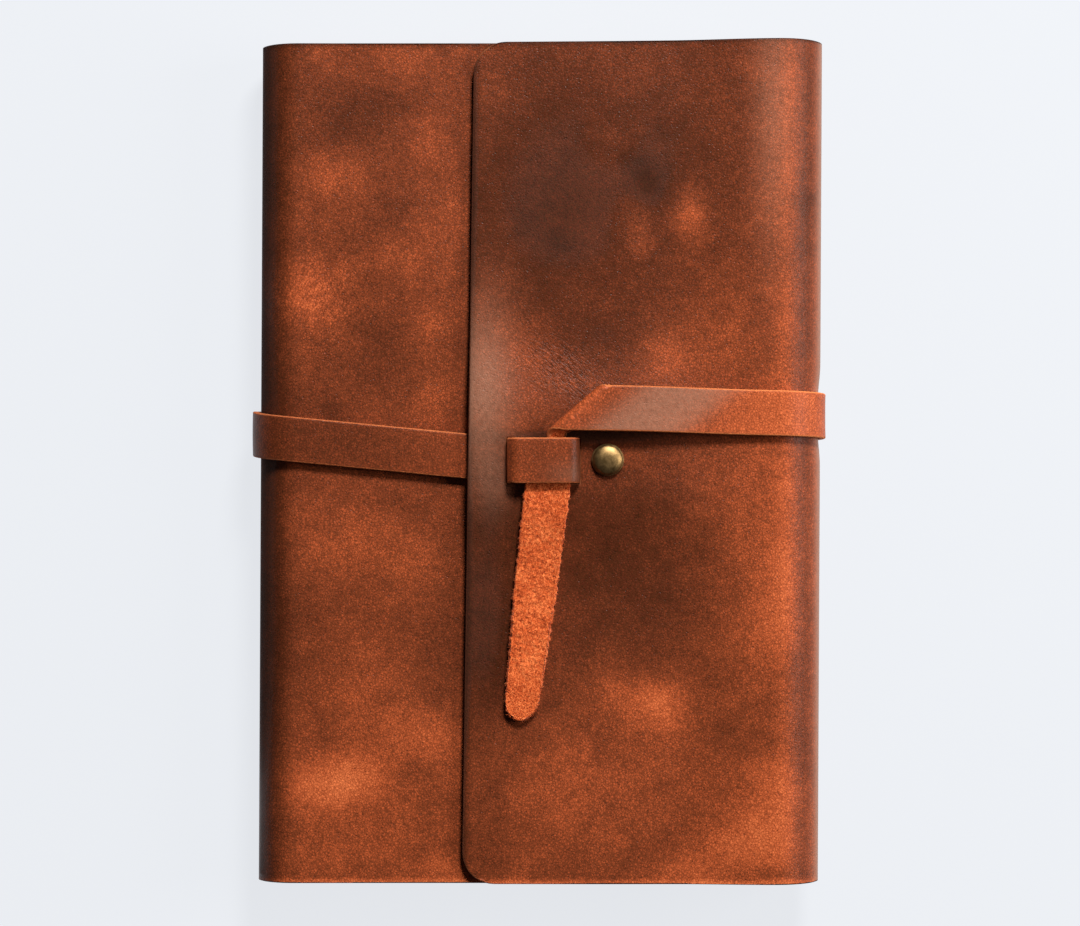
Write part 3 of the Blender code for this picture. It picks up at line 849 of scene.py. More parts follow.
FLAP_MARKS = (
    Mark(15, 75, 52, 36, -0.80),
    Mark(-15, 95, 8, 20, 0.12),
    Mark(18, 84, 6, 6, 0.45),
    Mark(25, 61, 5, 8, 0.62, 20),
    Mark(39, 65, 5, 7, 1.00),
    Mark(28, 73, 4, 5, -0.35),
    Mark(4, 60, 13, 12, -0.25),
    Mark(48, 60, 12, 26, 0.25),
    Mark(62, 74, 7, 40, 0.40),
    Mark(-8, 26, 12, 13, 0.38),
    Mark(16, 33, 11, 7, -0.45),
    Mark(32, 27, 6, 7, 0.62, 35),
    Mark(50, 30, 13, 14, 0.30),
    Mark(20, -27, 28, 28, -0.62),
    Mark(-15, -42, 8, 34, -0.80),
    Mark(-13, -12, 6, 8, -0.25),
    Mark(3, -14, 7, 10, -0.30),
    Mark(56, -20, 13, 30, 0.50),
    Mark(62, -38, 8, 16, 0.40),
    Mark(32, -63, 9, 7, 0.95, -20),
    Mark(17, -60, 8, 6, 0.30),
    Mark(5, -84, 24, 12, 0.30),
    Mark(22, -88, 40, 26, 0.20),
    Mark(-14, -90, 6, 14, -0.15),
    Mark(54, -100, 13, 8, 0.85, 15),
    Mark(60, -84, 9, 10, 0.45),
    Mark(38, -107, 9, 4, 0.40),
    # Painted shadow under the folded run's lower edge, between it and the keeper.
    Mark(12, 7.0, 20, 1.7, -1.5),
    # Across the fore-edge's bend: a painted highlight, painted shade beyond it, then a painted reflection on
    # the rim.
    Mark(64.0, 0, 3.4, 400, 0.30),
    Mark(70.0, 0, 2.4, 400, -0.22),
    Mark(78.0, 0, 4.0, 400, 0.55),
    Mark(30, -110.2, 400, 0.9, 0.80),
    # Painted shadow: a dark line along the head edge.
    Mark(30, 110.8, 400, 0.9, -1.10),
    # Painted shade along the flap's free edge, the side that faces away from the lamps.
    Mark(-18.95, 0, 1.2, 400, -0.90, -0.54),
)
# Painted sheen on the flap: grey highlights over the bulge by the free edge and at the fore-edge's head end,
# and a painted reflection along the fore-edge's rim.
FLAP_PAINTED_SHEEN = (
    Mark(-15, 20, 7, 19, 0.64),
    Mark(-12, -3, 5, 9, 0.25),
    Mark(61, 92, 5, 34, 0.30),
    Mark(78.5, 0, 3.4, 400, 1.00),
)


@dataclass
class Hide:
    """The one sheet of leather: front panel, spine, back panel, fore-edge and flap.

    The sheet is measured along its outer face, from the front panel's right edge round the spine, under
    the back and round the fore-edge to the flap's free edge.
    """

    thickness: float = 1.8
    front_edge_x: float = 64.0
    front_corner: float = 7.0
    flap_corner: float = 8.5
    flap_edge_head_x: float = -17.9
    flap_edge_foot_x: float = -20.0
    settle: float = 1.9
    head_gain: float = 0.75
    lean: float = 0.005
    grid_step: float = 1.0
    edge_round: float = 0.32
    strap_y: float = 1.2
    slit_gap: float = 0.04
    press: float = 0.052
    press_y: float = 12.8
    bend_reach: float = 6.0
    left_x: float = field(init=False)
    right_x: float = field(init=False)
    back_z: float = field(init=False)
    front_z: float = field(init=False)
    flap_z: float = field(init=False)
    half_height: float = field(init=False)

    def __post_init__(self) -> None:
        """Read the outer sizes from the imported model."""
        self.left_x = corners("leather_spine")[0][0]
        self.right_x = corners("leather_fore_edge")[1][0]
        back_low, back_high = corners("leather_back_panel")
        self.back_z, self.half_height = back_low[2], back_high[1]
        self.front_z = corners("leather_front_panel")[1][2]
        self.flap_z = corners("leather_flap")[1][2]

    @property
    def spine_radius(self) -> float:
        """Outer radius of the bend at the spine."""
        return (self.front_z - self.back_z) / 2

    @property
    def fore_radius(self) -> float:
        """Outer radius of the bend at the fore-edge."""
        return (self.flap_z - self.back_z) / 2

    @property
    def spine_x(self) -> float:
        """Where the front panel starts to bend."""
        return self.left_x + self.spine_radius

    @property
    def fore_x(self) -> float:
        """Where the flap starts to bend."""
        return self.right_x - self.fore_radius

    @property
    def spine_start(self) -> float:
        """Distance along the sheet to the spine's bend."""
        return self.front_edge_x - self.spine_x

    @property
    def back_start(self) -> float:
        """Distance along the sheet to the back panel."""
        return self.spine_start + math.pi * self.spine_radius

    @property
    def fore_start(self) -> float:
        """Distance along the sheet to the fore-edge's bend."""
        return self.back_start + self.fore_x - self.spine_x

    @property
    def flap_start(self) -> float:
        """Distance along the sheet to the flap."""
        return self.fore_start + math.pi * self.fore_radius

    def track(self, outwards: float = 0.0) -> Track:
        """The sheet's section, offset outwards.

        Args:
            outwards: offset from the leather's outer face.

        Returns:
            The section, from above the front panel's right edge to the end of the flap.
        """
        spine = self.spine_radius + outwards
        fore = self.fore_radius + outwards
        return Track(
            (self.front_edge_x, self.front_z + outwards),
            math.pi,
            (
                (self.spine_start, 0.0),
                (math.pi * spine, 1.0 / spine),
                (self.fore_x - self.spine_x, 0.0),
                (math.pi * fore, 1.0 / fore),
                (self.fore_x - self.flap_edge_foot_x, 0.0),
            ),
        )

    def pressed(self, x: np.ndarray, y: np.ndarray) -> np.ndarray:
        """X after the strap has drawn the fore-edge in: the bend is narrowed by a share where it passes."""
        beside = np.exp(-(((y - self.press_y) / 9.5) ** 4))
        return np.where(x > self.fore_x, self.fore_x + (x - self.fore_x) * (1.0 - self.press * beside), x)

    def flap_place(self, distance: np.ndarray) -> np.ndarray:
        """X of a point of the flap from its distance along the sheet."""
        return self.fore_x - (distance - self.flap_start)

    def flap_lift(self, x: np.ndarray, y: np.ndarray) -> np.ndarray:
        """How far the flap is held up, from 0 where it lies on the front panel to 1.

        It is fully up over the strap that passes below it and at the fore-edge, and comes down in a bell
        with the distance from them.
        """
        beyond_x = np.maximum(np.maximum(-22.0 - x, x - 26.0), 0.0)
        beyond_y = np.maximum(np.abs(y - self.strap_y) - 7.5, 0.0)
        over_strap = np.exp(-((beyond_x / 24.0) ** 2) - (beyond_y / 15.0) ** 2)
        at_fore_edge = ease((x - 34.0) / (self.fore_x - 34.0))
        return 1.0 - (1.0 - over_strap) * (1.0 - at_fore_edge)

    def flap_height(self, x: np.ndarray, y: np.ndarray) -> np.ndarray:
        """Height of the flap's upper face over its place: settled, lifted, bulged and slightly wavy."""
        lift = self.flap_lift(x, y)
        loose = 1.0 - ease((x - 38.0) / 18.0)
        bulge = 0.75 * np.exp(-(((x + 11.0) / 8.0) ** 2) - ((y - 19.0) / 12.0) ** 2)
        bulge += 0.30 * np.exp(-(((x + 12.0) / 6.0) ** 2) - ((y + 17.0) / 9.0) ** 2)
        wave = 0.10 * np.sin(x / 13.0 + 0.6) * np.cos(y / 19.0) + 0.07 * np.sin((x - y) / 9.5)
        wave += 0.16 * np.exp(-(((x - 25.0) / 7.0) ** 2) - ((y - 60.0) / 11.0) ** 2)
        wave += 0.16 * np.exp(-(((x - 39.0) / 6.0) ** 2) - ((y - 64.0) / 8.0) ** 2)
        return self.flap_z - self.settle * (1.0 - lift) + loose * (0.6 * bulge + wave * (1.0 - 0.6 * lift))

    def head_extra(self, distance: np.ndarray) -> np.ndarray:
        """How much taller the hide is cut towards the fore-edge: a broad bell along the sheet."""
        return self.head_gain * np.exp(-(((distance - self.flap_start + 8.0) / 46.0) ** 2))

    def tone_at(self, distance: np.ndarray, y: np.ndarray) -> np.ndarray:
        """Broad tone of the hide, from its listed marks and a few on the hidden panels."""
        front_x = self.front_edge_x - distance
        flap_x = self.flap_place(distance)
        tone = np.zeros(np.broadcast(distance, y).shape)
        on_front = 1.0 - ease((distance - self.back_start + 12.0) / 12.0)
        on_flap = ease((distance - self.fore_start) / 14.0)
        for mark in FRONT_MARKS:
            tone += on_front * mark.at(front_x, y)
        for mark in FLAP_MARKS:
            tone += on_flap * mark.at(flap_x, y)
        chance = np.random.default_rng(11)
        hidden = (1.0 - on_front) * (1.0 - on_flap)
        for _ in range(26):
            where = chance.uniform((self.back_start, -105.0), (self.fore_start, 105.0))
            reach = chance.uniform(6.0, 16.0, 2)
            strength, lean = chance.normal(0.0, 0.32), chance.uniform(0, 90)
            patch = Mark(where[0], where[1], reach[0], reach[1], strength, lean)
            tone += hidden * patch.at(distance, y)
        return tone

    def crease_at(self, distance: np.ndarray, y: np.ndarray) -> np.ndarray:
        """Where the grain is drawn into wrinkles: above 0 where they fall, below 0 where they rise."""
        front_x = self.front_edge_x - distance
        flap_x = self.flap_place(distance)
        on_flap = ease((distance - self.fore_start) / 14.0)
        crease = (1.0 - on_flap) * (
            Mark(-60, 43, 13, 11, -1.5).at(front_x, y) + Mark(-35, 56, 7, 5, -0.6).at(front_x, y)
        )
        crease += on_flap * (
            Mark(8, 23, 10, 6, 1.7, -35).at(flap_x, y)
            + Mark(25, 57, 5, 4, 0.6).at(flap_x, y)
            + Mark(0, 28, 10, 7, 0.5, -30).at(flap_x, y)
        )
        return crease

    def painted_sheen_at(self, distance: np.ndarray, y: np.ndarray) -> np.ndarray:
        """Painted grey sheen on the flap, from 0 to 1: highlights over the bulge and up the fore-edge, a
        reflection on its rim.
        """
        on_flap = ease((distance - self.fore_start) / 14.0)
        flap_x = self.flap_place(distance)
        return on_flap * sum(mark.at(flap_x, y) for mark in FLAP_PAINTED_SHEEN)

    def _corner_rows(self, radius: float) -> tuple[float, ...]:
        """Heights at which a round corner needs a row of points."""
        angles = np.radians(np.arange(0.0, 91.0, 9.0))
        steps = self.half_height - radius * (1.0 - np.cos(angles))
        return tuple(np.concatenate([steps, -steps]))

    def _corner_inset(self, y: np.ndarray, radius: float) -> np.ndarray:
        """How far a round corner moves a side edge in: the gap between a square and its quarter circle."""
        reach = np.clip(np.abs(y) - (self.half_height - radius), 0.0, radius)
        return radius - np.sqrt(radius**2 - reach**2)

    def _stretch(
        self,
        distance: np.ndarray,
        y: np.ndarray,
        displace: Callable[[np.ndarray, np.ndarray], np.ndarray] | None,
    ) -> tuple[np.ndarray, np.ndarray]:
        """Points of a stretch of the hide and their places on the flat sheet.

        A point is the section's place at its distance, carried along y, leaning a little with it, and moved
        up by the displacement.

        Args:
            distance: distances along the sheet, as a grid.
            y: places across the sheet, as a grid.
            displace: height to add over x and y, or nothing.

        Returns:
            The grid of points and the grid of flat places.
        """
        place, _ = self.track().at(distance)
        tall = y * (1.0 + np.where(y > 0, self.head_extra(distance), 0.0) / self.half_height)
        points = np.stack([place[..., 0] + self.lean * y, tall, place[..., 1]], -1)
        points[..., 0] = self.pressed(points[..., 0], y)
        if displace is not None:
            points[..., 2] += displace(points[..., 0], y)
        return points, np.stack([distance, y], -1)

    def _sheet(self, distance: np.ndarray, y: np.ndarray, facing: np.ndarray, **more: object) -> Sheet:
        """A sheet over a grid of distances and heights, with its tone and creases."""
        displace = more.pop("displace", None)
        points, flat = self._stretch(distance, y, displace)
        return Sheet(
            points,
            flat,
            EdgeShape.rounded(self.thickness, self.edge_round),
            facing,
            tone=self.tone_at(distance, y),
            crease=self.crease_at(distance, y),
            painted_sheen=self.painted_sheen_at(distance, y),
            **more,
        )

    def _facing(self, distance: np.ndarray) -> np.ndarray:
        """Outward directions along the sheet, for telling which way its faces point."""
        _, left = self.track().at(distance)
        return np.stack([-left[..., 0], np.zeros(distance.shape), -left[..., 1]], -1)

    def front(self) -> bpy.types.Object:
        """The front panel and the front half of the spine, which turn with the front cover."""
        y = ticks(-self.half_height, self.half_height, self.grid_step, self._corner_rows(self.front_corner))
        end = self.spine_start + math.pi * self.spine_radius / 2
        base = np.concatenate([
            ticks(0.0, self.spine_start, self.grid_step)[:-1],
            ticks(self.spine_start, end, 0.5),
        ])
        distance, y = np.meshgrid(base, y, indexing="ij")
        inset = self._corner_inset(y, self.front_corner)
        distance = distance + inset * (1.0 - np.clip(distance / 30.0, 0.0, 1.0))
        rivet_low, rivet_high = corners("rivet_back_cap")
        rivet = (rivet_low + rivet_high) / 2

        def displace(x: np.ndarray, across: np.ndarray) -> np.ndarray:
            """Slight waves, none at the spine, and the dent that the rivet has pressed."""
            calm = ease((x - self.spine_x) / 14.0)
            wave = 0.09 * np.sin(x / 15.0 + 1.0) * np.cos(across / 22.0) + 0.05 * np.sin((x + across) / 10.0)
            dent = ease((6.6 - np.hypot(x - rivet[0], across - rivet[1])) / 2.2)
            return calm * (wave - 0.14) - 1.1 * dent

        seam = np.zeros(distance.shape, bool)
        seam[-1] = True
        sheet = self._sheet(distance, y, self._facing(distance), seam=seam, displace=displace)
        return sheet.build("hide_front_panel")

    def back(self, spine_side: bool) -> bpy.types.Object:
        """Half of the back panel with the back half of one bend.

        Args:
            spine_side: the half by the spine, or the one by the fore-edge.

        Returns:
            The piece.
        """
        middle = self.back_start - self.spine_x
        if spine_side:
            low = self.spine_start + math.pi * self.spine_radius / 2
            base = np.concatenate([
                ticks(low, self.back_start, 0.5)[:-1],
                ticks(self.back_start, middle, 1.4),
            ])
        else:
            high = self.fore_start + math.pi * self.fore_radius / 2
            base = np.concatenate([
                ticks(middle, self.fore_start, 1.4)[:-1],
                ticks(self.fore_start, high, 0.5),
            ])
        distance, y = np.meshgrid(base, ticks(-self.half_height, self.half_height, 1.3), indexing="ij")
        seam = np.zeros(distance.shape, bool)
        seam[[0, -1]] = True
        sheet = self._sheet(distance, y, self._facing(distance), seam=seam)
        return sheet.build("hide_back_spine_side" if spine_side else "hide_back_fore_side")

    def flap(self) -> bpy.types.Object:
        """The flap and the upper half of the fore-edge, with the two slits that the keeper passes."""
        keeper_low, keeper_high = corners("strap_keeper_loop")
        keeper_y = (keeper_low[1] + keeper_high[1]) / 2
        slit_half_y = (keeper_high[1] - keeper_low[1]) / 2 + self.slit_gap
        slit_half_x = self.thickness / 2 + self.slit_gap
        slit_low, slit_high = keeper_y - slit_half_y, keeper_y + slit_half_y
        slit_edges = [x + side for x in KEEPER_LEGS for side in (-slit_half_x, slit_half_x)]
        rows = self._corner_rows(self.flap_corner) + (slit_low, slit_high)
        y = ticks(-self.half_height, self.half_height, self.grid_step, rows)
        start = self.fore_start + math.pi * self.fore_radius / 2
        end = self.flap_start + self.fore_x - self.flap_edge_foot_x
        edges = tuple(self.flap_start + self.fore_x - x for x in slit_edges)
        base = np.concatenate([
            ticks(start, self.flap_start, 0.5)[:-1],
            ticks(self.flap_start, end, self.grid_step, edges),
        ])
        distance, y = np.meshgrid(base, y, indexing="ij")
        share = (self.half_height - y) / (2 * self.half_height)
        edge_x = self.flap_edge_head_x + share * (self.flap_edge_foot_x - self.flap_edge_head_x)
        edge_x = edge_x + self._corner_inset(y, self.flap_corner)
        wanted = self.flap_start + self.fore_x - edge_x
        free_from_x = -10.0 + 24.0 * ease((np.abs(y) - 15.0) / 55.0)
        free_from = self.flap_start + self.fore_x - free_from_x
        beyond = np.clip((distance - free_from) / (end - free_from), 0.0, None)
        distance = np.where(beyond > 0, free_from + beyond * (wanted - free_from), distance)
        middle_x = self.flap_place((distance[:-1, :-1] + distance[1:, 1:]) / 2)
        middle_y = (y[:-1, :-1] + y[1:, 1:]) / 2
        beside = np.min([np.abs(middle_x - x) for x in KEEPER_LEGS], axis=0)
        kept = ~((beside < slit_half_x) & (middle_y > slit_low) & (middle_y < slit_high))

        def displace(x: np.ndarray, across: np.ndarray) -> np.ndarray:
            """Bring the flat flap to its settled height; nothing past the start of the bend."""
            fade = ease((self.fore_x - x) / 4.0)
            return fade * (self.flap_height(x, across) - self.flap_z)

        seam = np.zeros(distance.shape, bool)
        seam[0] = True
        sheet = self._sheet(distance, y, self._facing(distance), seam=seam, kept=kept, displace=displace)
        return sheet.build("hide_flap")

    def crossings(self) -> tuple[Crossing, ...]:
        """The bends from front to spine, spine to back, back to fore-edge and fore-edge to flap."""
        spine_middle = Vector((self.left_x, 0.0, (self.back_z + self.front_z) / 2)) * MM
        fore_middle = Vector((self.right_x, 0.0, (self.back_z + self.flap_z) / 2)) * MM
        left, right = self.spine_x + self.bend_reach, self.fore_x - self.bend_reach
        return (
            Crossing("front_cover", "spine", Vector((left, 0.0, self.front_z)) * MM, spine_middle),
            Crossing("spine", "back_cover", spine_middle, Vector((left, 0.0, self.back_z)) * MM),
            Crossing("back_cover", "fore_edge", Vector((right, 0.0, self.back_z)) * MM, fore_middle),
            Crossing("fore_edge", "flap", fore_middle, Vector((right, 0.0, self.flap_z)) * MM),
        )

    def build(self, finishes: Finishes) -> None:
        """Make the hide's four pieces and dress them."""
        pieces = (
            (self.front(), ("leather_front_panel",)),
            (self.back(True), ("leather_spine",)),
            (self.back(False), ("leather_back_panel",)),
            (self.flap(), ("leather_fore_edge", "leather_flap")),
        )
        for (piece, nodes), crossing in zip(pieces, self.crossings()):
            fit(piece, finishes.leather(), "pull_up_leather", crossing, *nodes)


@dataclass
class Strap:
    """The strap: riveted end and keeper, the turn round the cover, the folded run and the tail."""

    hide: Hide
    width: float = 11.9
    thickness: float = 1.8
    gap: float = 0.3
    edge_round: float = 0.34
    step: float = 0.8
    loop_end_x: float = -12.7
    bend: float = 2.2
    y_under_flap: float = 1.2
    y_spine: float = 8.0
    y_back: float = 10.2
    y_fore: float = 12.5
    y_flap: float = 13.5
    rise: float = 0.9
    droop: float = 0.5
    fold_angle: float = 40.8
    fold_radius: float = 1.35
    fold_place: tuple[float, float] = (16.67, 18.4)
    drift: float = 4.45
    drift_run: float = 10.7
    squeeze_x: float = 3.0
    squeeze_room: float = 5.0
    run_length: float = 107.0
    under_keeper_y: float = -4.5
    tail_lean: float = 6.75
    tail_radius: float = 4.4
    tail_x: float = -4.75
    tail_round_from: float = 0.72
    tail_swing: float = 76.0
    # Where along the strap the painted grey sheen lies: on the free run as it rises to the fold.
    painted_sheen_at: float = 311.0
    nap_upper: int = 2600
    nap_side: int = 1500
    tones: tuple[tuple[float, float], ...] = (
        (0.0, -0.20),
        # Painted highlight: a thin bright line along the keeper's left shoulder.
        (6.3, 0.30),
        (7.4, 1.70),
        (8.7, 0.15),
        (18.0, 0.05),
        (24.0, 0.16),
        # Painted shade where the keeper turns down into the right-hand slit.
        (27.0, -0.60),
        (48.0, -0.30),
        (60.0, 0.05),
        (115.0, -0.28),
        (190.0, -0.10),
        # Painted highlight where the free run comes over the fore-edge, fading towards the fold.
        (265.0, 0.60),
        (290.0, 0.74),
        (312.0, 0.20),
        # Painted highlight along the round of the fold.
        (328.0, 0.20),
        (333.0, 0.60),
        (337.0, 0.10),
        (345.0, -0.30),
    )

    def _across(self) -> np.ndarray:
        """Places across the strap, from one edge to the other."""
        return np.linspace(-self.width / 2, self.width / 2, 17)

    def _sheet(self, top: np.ndarray, flat: np.ndarray, facing: np.ndarray, **more: object) -> Sheet:
        """A strap sheet with its edges, a gentle tone along it and painted grey sheen on the free run and the
        keeper.
        """
        along = flat[..., 0]
        across = flat[..., 1] - STRAP_PLACE
        tone = np.interp(along, *zip(*self.tones)) + 0.10 * np.sin(along / 11.0 + 2.0)
        tone = tone + 0.10 * (np.abs(across) / (self.width / 2)) ** 4
        slanted = along + 1.15 * across
        tone = np.where(along > 300.0, np.interp(slanted, *zip(*self.tones)), tone)
        # Painted sheen: a grey band across the free run as it rises to the fold, and a patch on the keeper's
        # lower right.
        painted_sheen = 0.62 * np.exp(-(((slanted - self.painted_sheen_at) / 13.0) ** 4))
        painted_sheen = painted_sheen + Mark(24.0, STRAP_PLACE - 3.5, 5.0, 3.2, 0.20).at(along, flat[..., 1])
        edge = EdgeShape.rounded(self.thickness, self.edge_round)
        return Sheet(top, flat, edge, facing, tone=tone, painted_sheen=painted_sheen, **more)

    def band(
        self,
        name: str,
        track: Track,
        span: tuple[float, float],
        y_span: tuple[float, float],
        side: float,
        seams: tuple[bool, bool],
        flat_from: float,
        sag: Callable[[np.ndarray], np.ndarray] | None = None,
    ) -> bpy.types.Object:
        """A stretch of strap that follows a section and drifts across it.

        Args:
            name: name of the piece.
            track: section of the strap's grain side.
            span: first and last distance along it.
            y_span: middle of the strap at those distances.
            side: 1 where the grain is on the section's left, -1 where it is on its right.
            seams: whether the first and last ends meet another piece.
            flat_from: distance along the whole strap at the first end.
            sag: height to add over x, or nothing.

        Returns:
            The piece.
        """
        along = ticks(span[0], span[1], self.step)
        distance, across = np.meshgrid(along, self._across(), indexing="ij")
        place, left = track.at(distance)
        share = (distance - span[0]) / (span[1] - span[0])
        middle = y_span[0] + share * (y_span[1] - y_span[0])
        crown = 0.10 * (1.0 - (2 * across / self.width) ** 2)
        offset = crown * side
        x = place[..., 0] + left[..., 0] * offset
        z = place[..., 1] + left[..., 1] * offset
        y = middle + across
        x = self.hide.pressed(x, y)
        if sag is not None:
            z = z + sag(x)
        facing = side * np.stack([left[..., 0], np.zeros(x.shape), left[..., 1]], -1)
        seam = np.zeros(x.shape, bool)
        seam[0], seam[-1] = seams
        flat = np.stack([flat_from + distance - span[0], across + STRAP_PLACE], -1)
        return self._sheet(np.stack([x, y, z], -1), flat, facing, seam=seam).build(name)

    def keeper(self) -> bpy.types.Object:
        """The riveted end: below the flap, up through one slit, over as the keeper, down the other."""
        low, high = corners("strap_keeper_loop")
        under, over = low[2] + self.thickness, high[2]
        right, left = KEEPER_LEGS
        outer = self.bend + self.thickness / 2
        inner = self.bend - self.thickness / 2
        half = self.thickness / 2
        climb = over - under - outer - inner
        bridge = right - left + 2 * half - 2 * outer
        corner = math.pi / 2
        track = Track(
            (self.loop_end_x + 0.15, under),
            0.0,
            (
                (left - half - inner - self.loop_end_x - 0.15, 0.0),
                (corner * inner, 1.0 / inner),
                (climb, 0.0),
                (corner * outer, -1.0 / outer),
                (bridge, 0.0),
                (corner * outer, -1.0 / outer),
                (climb, 0.0),
                (corner * inner, 1.0 / inner),
                (high[0] - right - half - inner, 0.0),
            ),
        )
        y = (low[1] + high[1]) / 2
        return self.band("strap_keeper", track, (0.0, track.length), (y, y), 1.0, (False, False), 0.0)

    def _free_surface(self, along: np.ndarray, across: np.ndarray) -> np.ndarray:
        """Middle surface of the last run: round the fore-edge, over the flap, folded and back below.

        The strap is laid out flat first. Distance past the fold line wraps round a half circle, and what
        lies beyond it comes back below as a mirror image, which then drifts sideways to the keeper.

        Args:
            along: distance from the middle of the fore-edge.
            across: distance from the strap's middle line, towards the head.

        Returns:
            The grid of points.
        """
        hide = self.hide
        offset = self.gap + self.thickness / 2
        bend_length = (hide.fore_radius + offset) * math.pi / 2
        track = hide.track(offset)
        fore_start = sum(length for length, _ in track.stretches[:3])
        bend_place, _ = track.at(fore_start + bend_length + np.minimum(along, bend_length))
        travel = along - bend_length
        rise = math.radians(self.rise)
        flat_x = hide.fore_x - travel * math.cos(rise) + across * math.sin(rise)
        flat_y = self.y_flap + travel * math.sin(rise) + across * math.cos(rise)
        flat_y = flat_y - self.droop * ease((flat_x - 24.0) / 38.0)
        share = along / bend_length
        bend_y = self.y_fore + share * (self.y_flap - self.droop - self.y_fore) + across

        turn = math.radians(self.fold_angle)
        line = np.array([math.cos(turn), math.sin(turn)])
        beyond = np.array([-line[1], line[0]])
        past = (flat_x - self.fold_place[0]) * beyond[0] + (flat_y - self.fold_place[1]) * beyond[1]
        foot_x, foot_y = flat_x - past * beyond[0], flat_y - past * beyond[1]
        arc = math.pi * self.fold_radius
        angle = np.clip(past, 0.0, arc) / self.fold_radius
        out = np.where(past < 0, past, self.fold_radius * np.sin(angle) - np.maximum(past - arc, 0.0))
        drop = self.fold_radius * (1.0 - np.cos(angle))
        x = foot_x + out * beyond[0]
        y = foot_y + out * beyond[1]
        share = np.maximum(past - arc, 0.0) / self.drift_run
        x = x - self.drift * (1.7 * share - 0.7 * share**2)
        squeeze = ease((9.5 - y) / 2.0) * (1.0 - ease((0.5 - y) / 5.0)) * (past > arc)
        wide = np.maximum(x - self.squeeze_x, 0.0)
        room = self.squeeze_room
        x = x - squeeze * (wide - room * (1.0 - np.exp(-wide / room)))

        rest = hide.flap_z + offset
        climb = ease((52.0 - flat_x) / 32.0)
        twist = 0.25 * ease((40.0 - flat_x) / 20.0) * across / (self.width / 2)
        z = rest + 2 * self.fold_radius * climb - drop - np.where(past < arc, twist, 0.0) * (drop < 0.01)
        bent = along < bend_length
        x = np.where(bent, bend_place[..., 0], x)
        y = np.where(bent, bend_y, y)
        x = hide.pressed(x, y)
        z = np.where(bent, bend_place[..., 1], z)
        return np.stack([x, y, z], -1)

    def free_run(self) -> bpy.types.Object:
        """The run over the flap with its fold, down to the keeper."""
        along = ticks(0.0, self.run_length, 0.4)
        distance, across = np.meshgrid(along, self._across(), indexing="ij")
        middle = self._free_surface(distance, across)
        centre = middle.shape[1] // 2
        keep_rows = middle[:, centre, 1] > self.under_keeper_y
        turned = int(np.argmax(distance[:, 0] > 75.0))
        last = turned + int(np.argmin(keep_rows[turned:]))
        middle, distance, across = middle[:last], distance[:last], across[:last]
        normal = grid_normals(middle)
        if normal[len(normal) // 2, centre, 2] < 0:
            normal = -normal
        top = middle + normal * self.thickness / 2
        seam = np.zeros(distance.shape, bool)
        seam[0] = True
        flat = np.stack([distance + 260.0, across + STRAP_PLACE], -1)
        return self._sheet(top, flat, normal, seam=seam).build("strap_folded_run")

    @staticmethod
    def _smooth(grid: np.ndarray, times: int) -> np.ndarray:
        """Soften random heights: each point becomes a weighted mean of itself and its neighbours."""
        for _ in range(times):
            for axis in (0, 1):
                grid = 0.5 * grid + 0.25 * (np.roll(grid, 1, axis) + np.roll(grid, -1, axis))
        return grid / grid.std()

    def tail(self) -> bpy.types.Object:
        """The tapered tail, flesh side up, lying on the flap.

        Rows run from under the keeper to the tip. Over the last stretch they bow into the round end: a
        row's edge points slide to the ends of the arc and its middle to the tip.

        Returns:
            The piece.
        """
        tip_y = corners("strap_tail")[0][1]
        centre_y = tip_y + self.tail_radius
        lean = math.tan(math.radians(self.tail_lean))
        shape = (200, 33)
        rows = np.linspace(0.0, 1.0, shape[0])[:, None]
        across = np.linspace(-1.0, 1.0, shape[1])[None, :]
        length = self.under_keeper_y - centre_y
        rounding = (rows - self.tail_round_from) / (1.0 - self.tail_round_from)
        bow = ease(rounding) * np.clip(rounding, 0.0, 1.0)
        edge_y = self.under_keeper_y - rows * length
        half = self.width / 2 - (self.width / 2 - self.tail_radius) * (0.25 * rows + 0.75 * rows**2.6)
        swing = math.radians(self.tail_swing)
        round_across = np.sin(across * swing) / math.sin(swing)
        tip = (np.cos(across * swing) - math.cos(swing)) / (1.0 - math.cos(swing))
        y = edge_y - bow * self.tail_radius * tip
        chance = np.random.default_rng(8)
        ragged = self._smooth(chance.normal(0.0, 1.0, shape), 2)
        wobble = 0.10 * np.sin(edge_y / 3.1) + 0.05 * np.sin(edge_y / 1.3)
        wobble = wobble + 0.20 * (1 - bow) * np.where(across > 0, ragged[:, :1], ragged[:, -1:])
        offset = (half + 0.5 * wobble) * ((1 - bow) * across + bow * round_across)
        x = self.tail_x + (y - centre_y) * lean + offset
        rest = self.hide.flap_height(x, y) + self.thickness + 0.15
        keeper_hold = self.hide.flap_z + self.gap + self.thickness
        hold = 1.0 - ease((self.under_keeper_y - 1.0 - y) / 16.0)
        z = rest + hold * (keeper_hold - rest) + 0.35 * np.exp(-(((y + 50.0) / 12.0) ** 2))
        z = z + 0.10 * (offset / half) ** 2
        inner = np.clip((1.0 - np.abs(across)) / 0.2, 0.0, 1.0) * (1 - bow)
        z = z + 0.075 * inner * self._smooth(chance.normal(0.0, 1.0, shape), 1)
        top = np.stack([x, y, z], -1)
        flat = np.stack([y + 0 * x, x + STRAP_PLACE], -1)
        return self._sheet(top, flat, (0.0, 0.0, 1.0)).build("strap_tail_end")

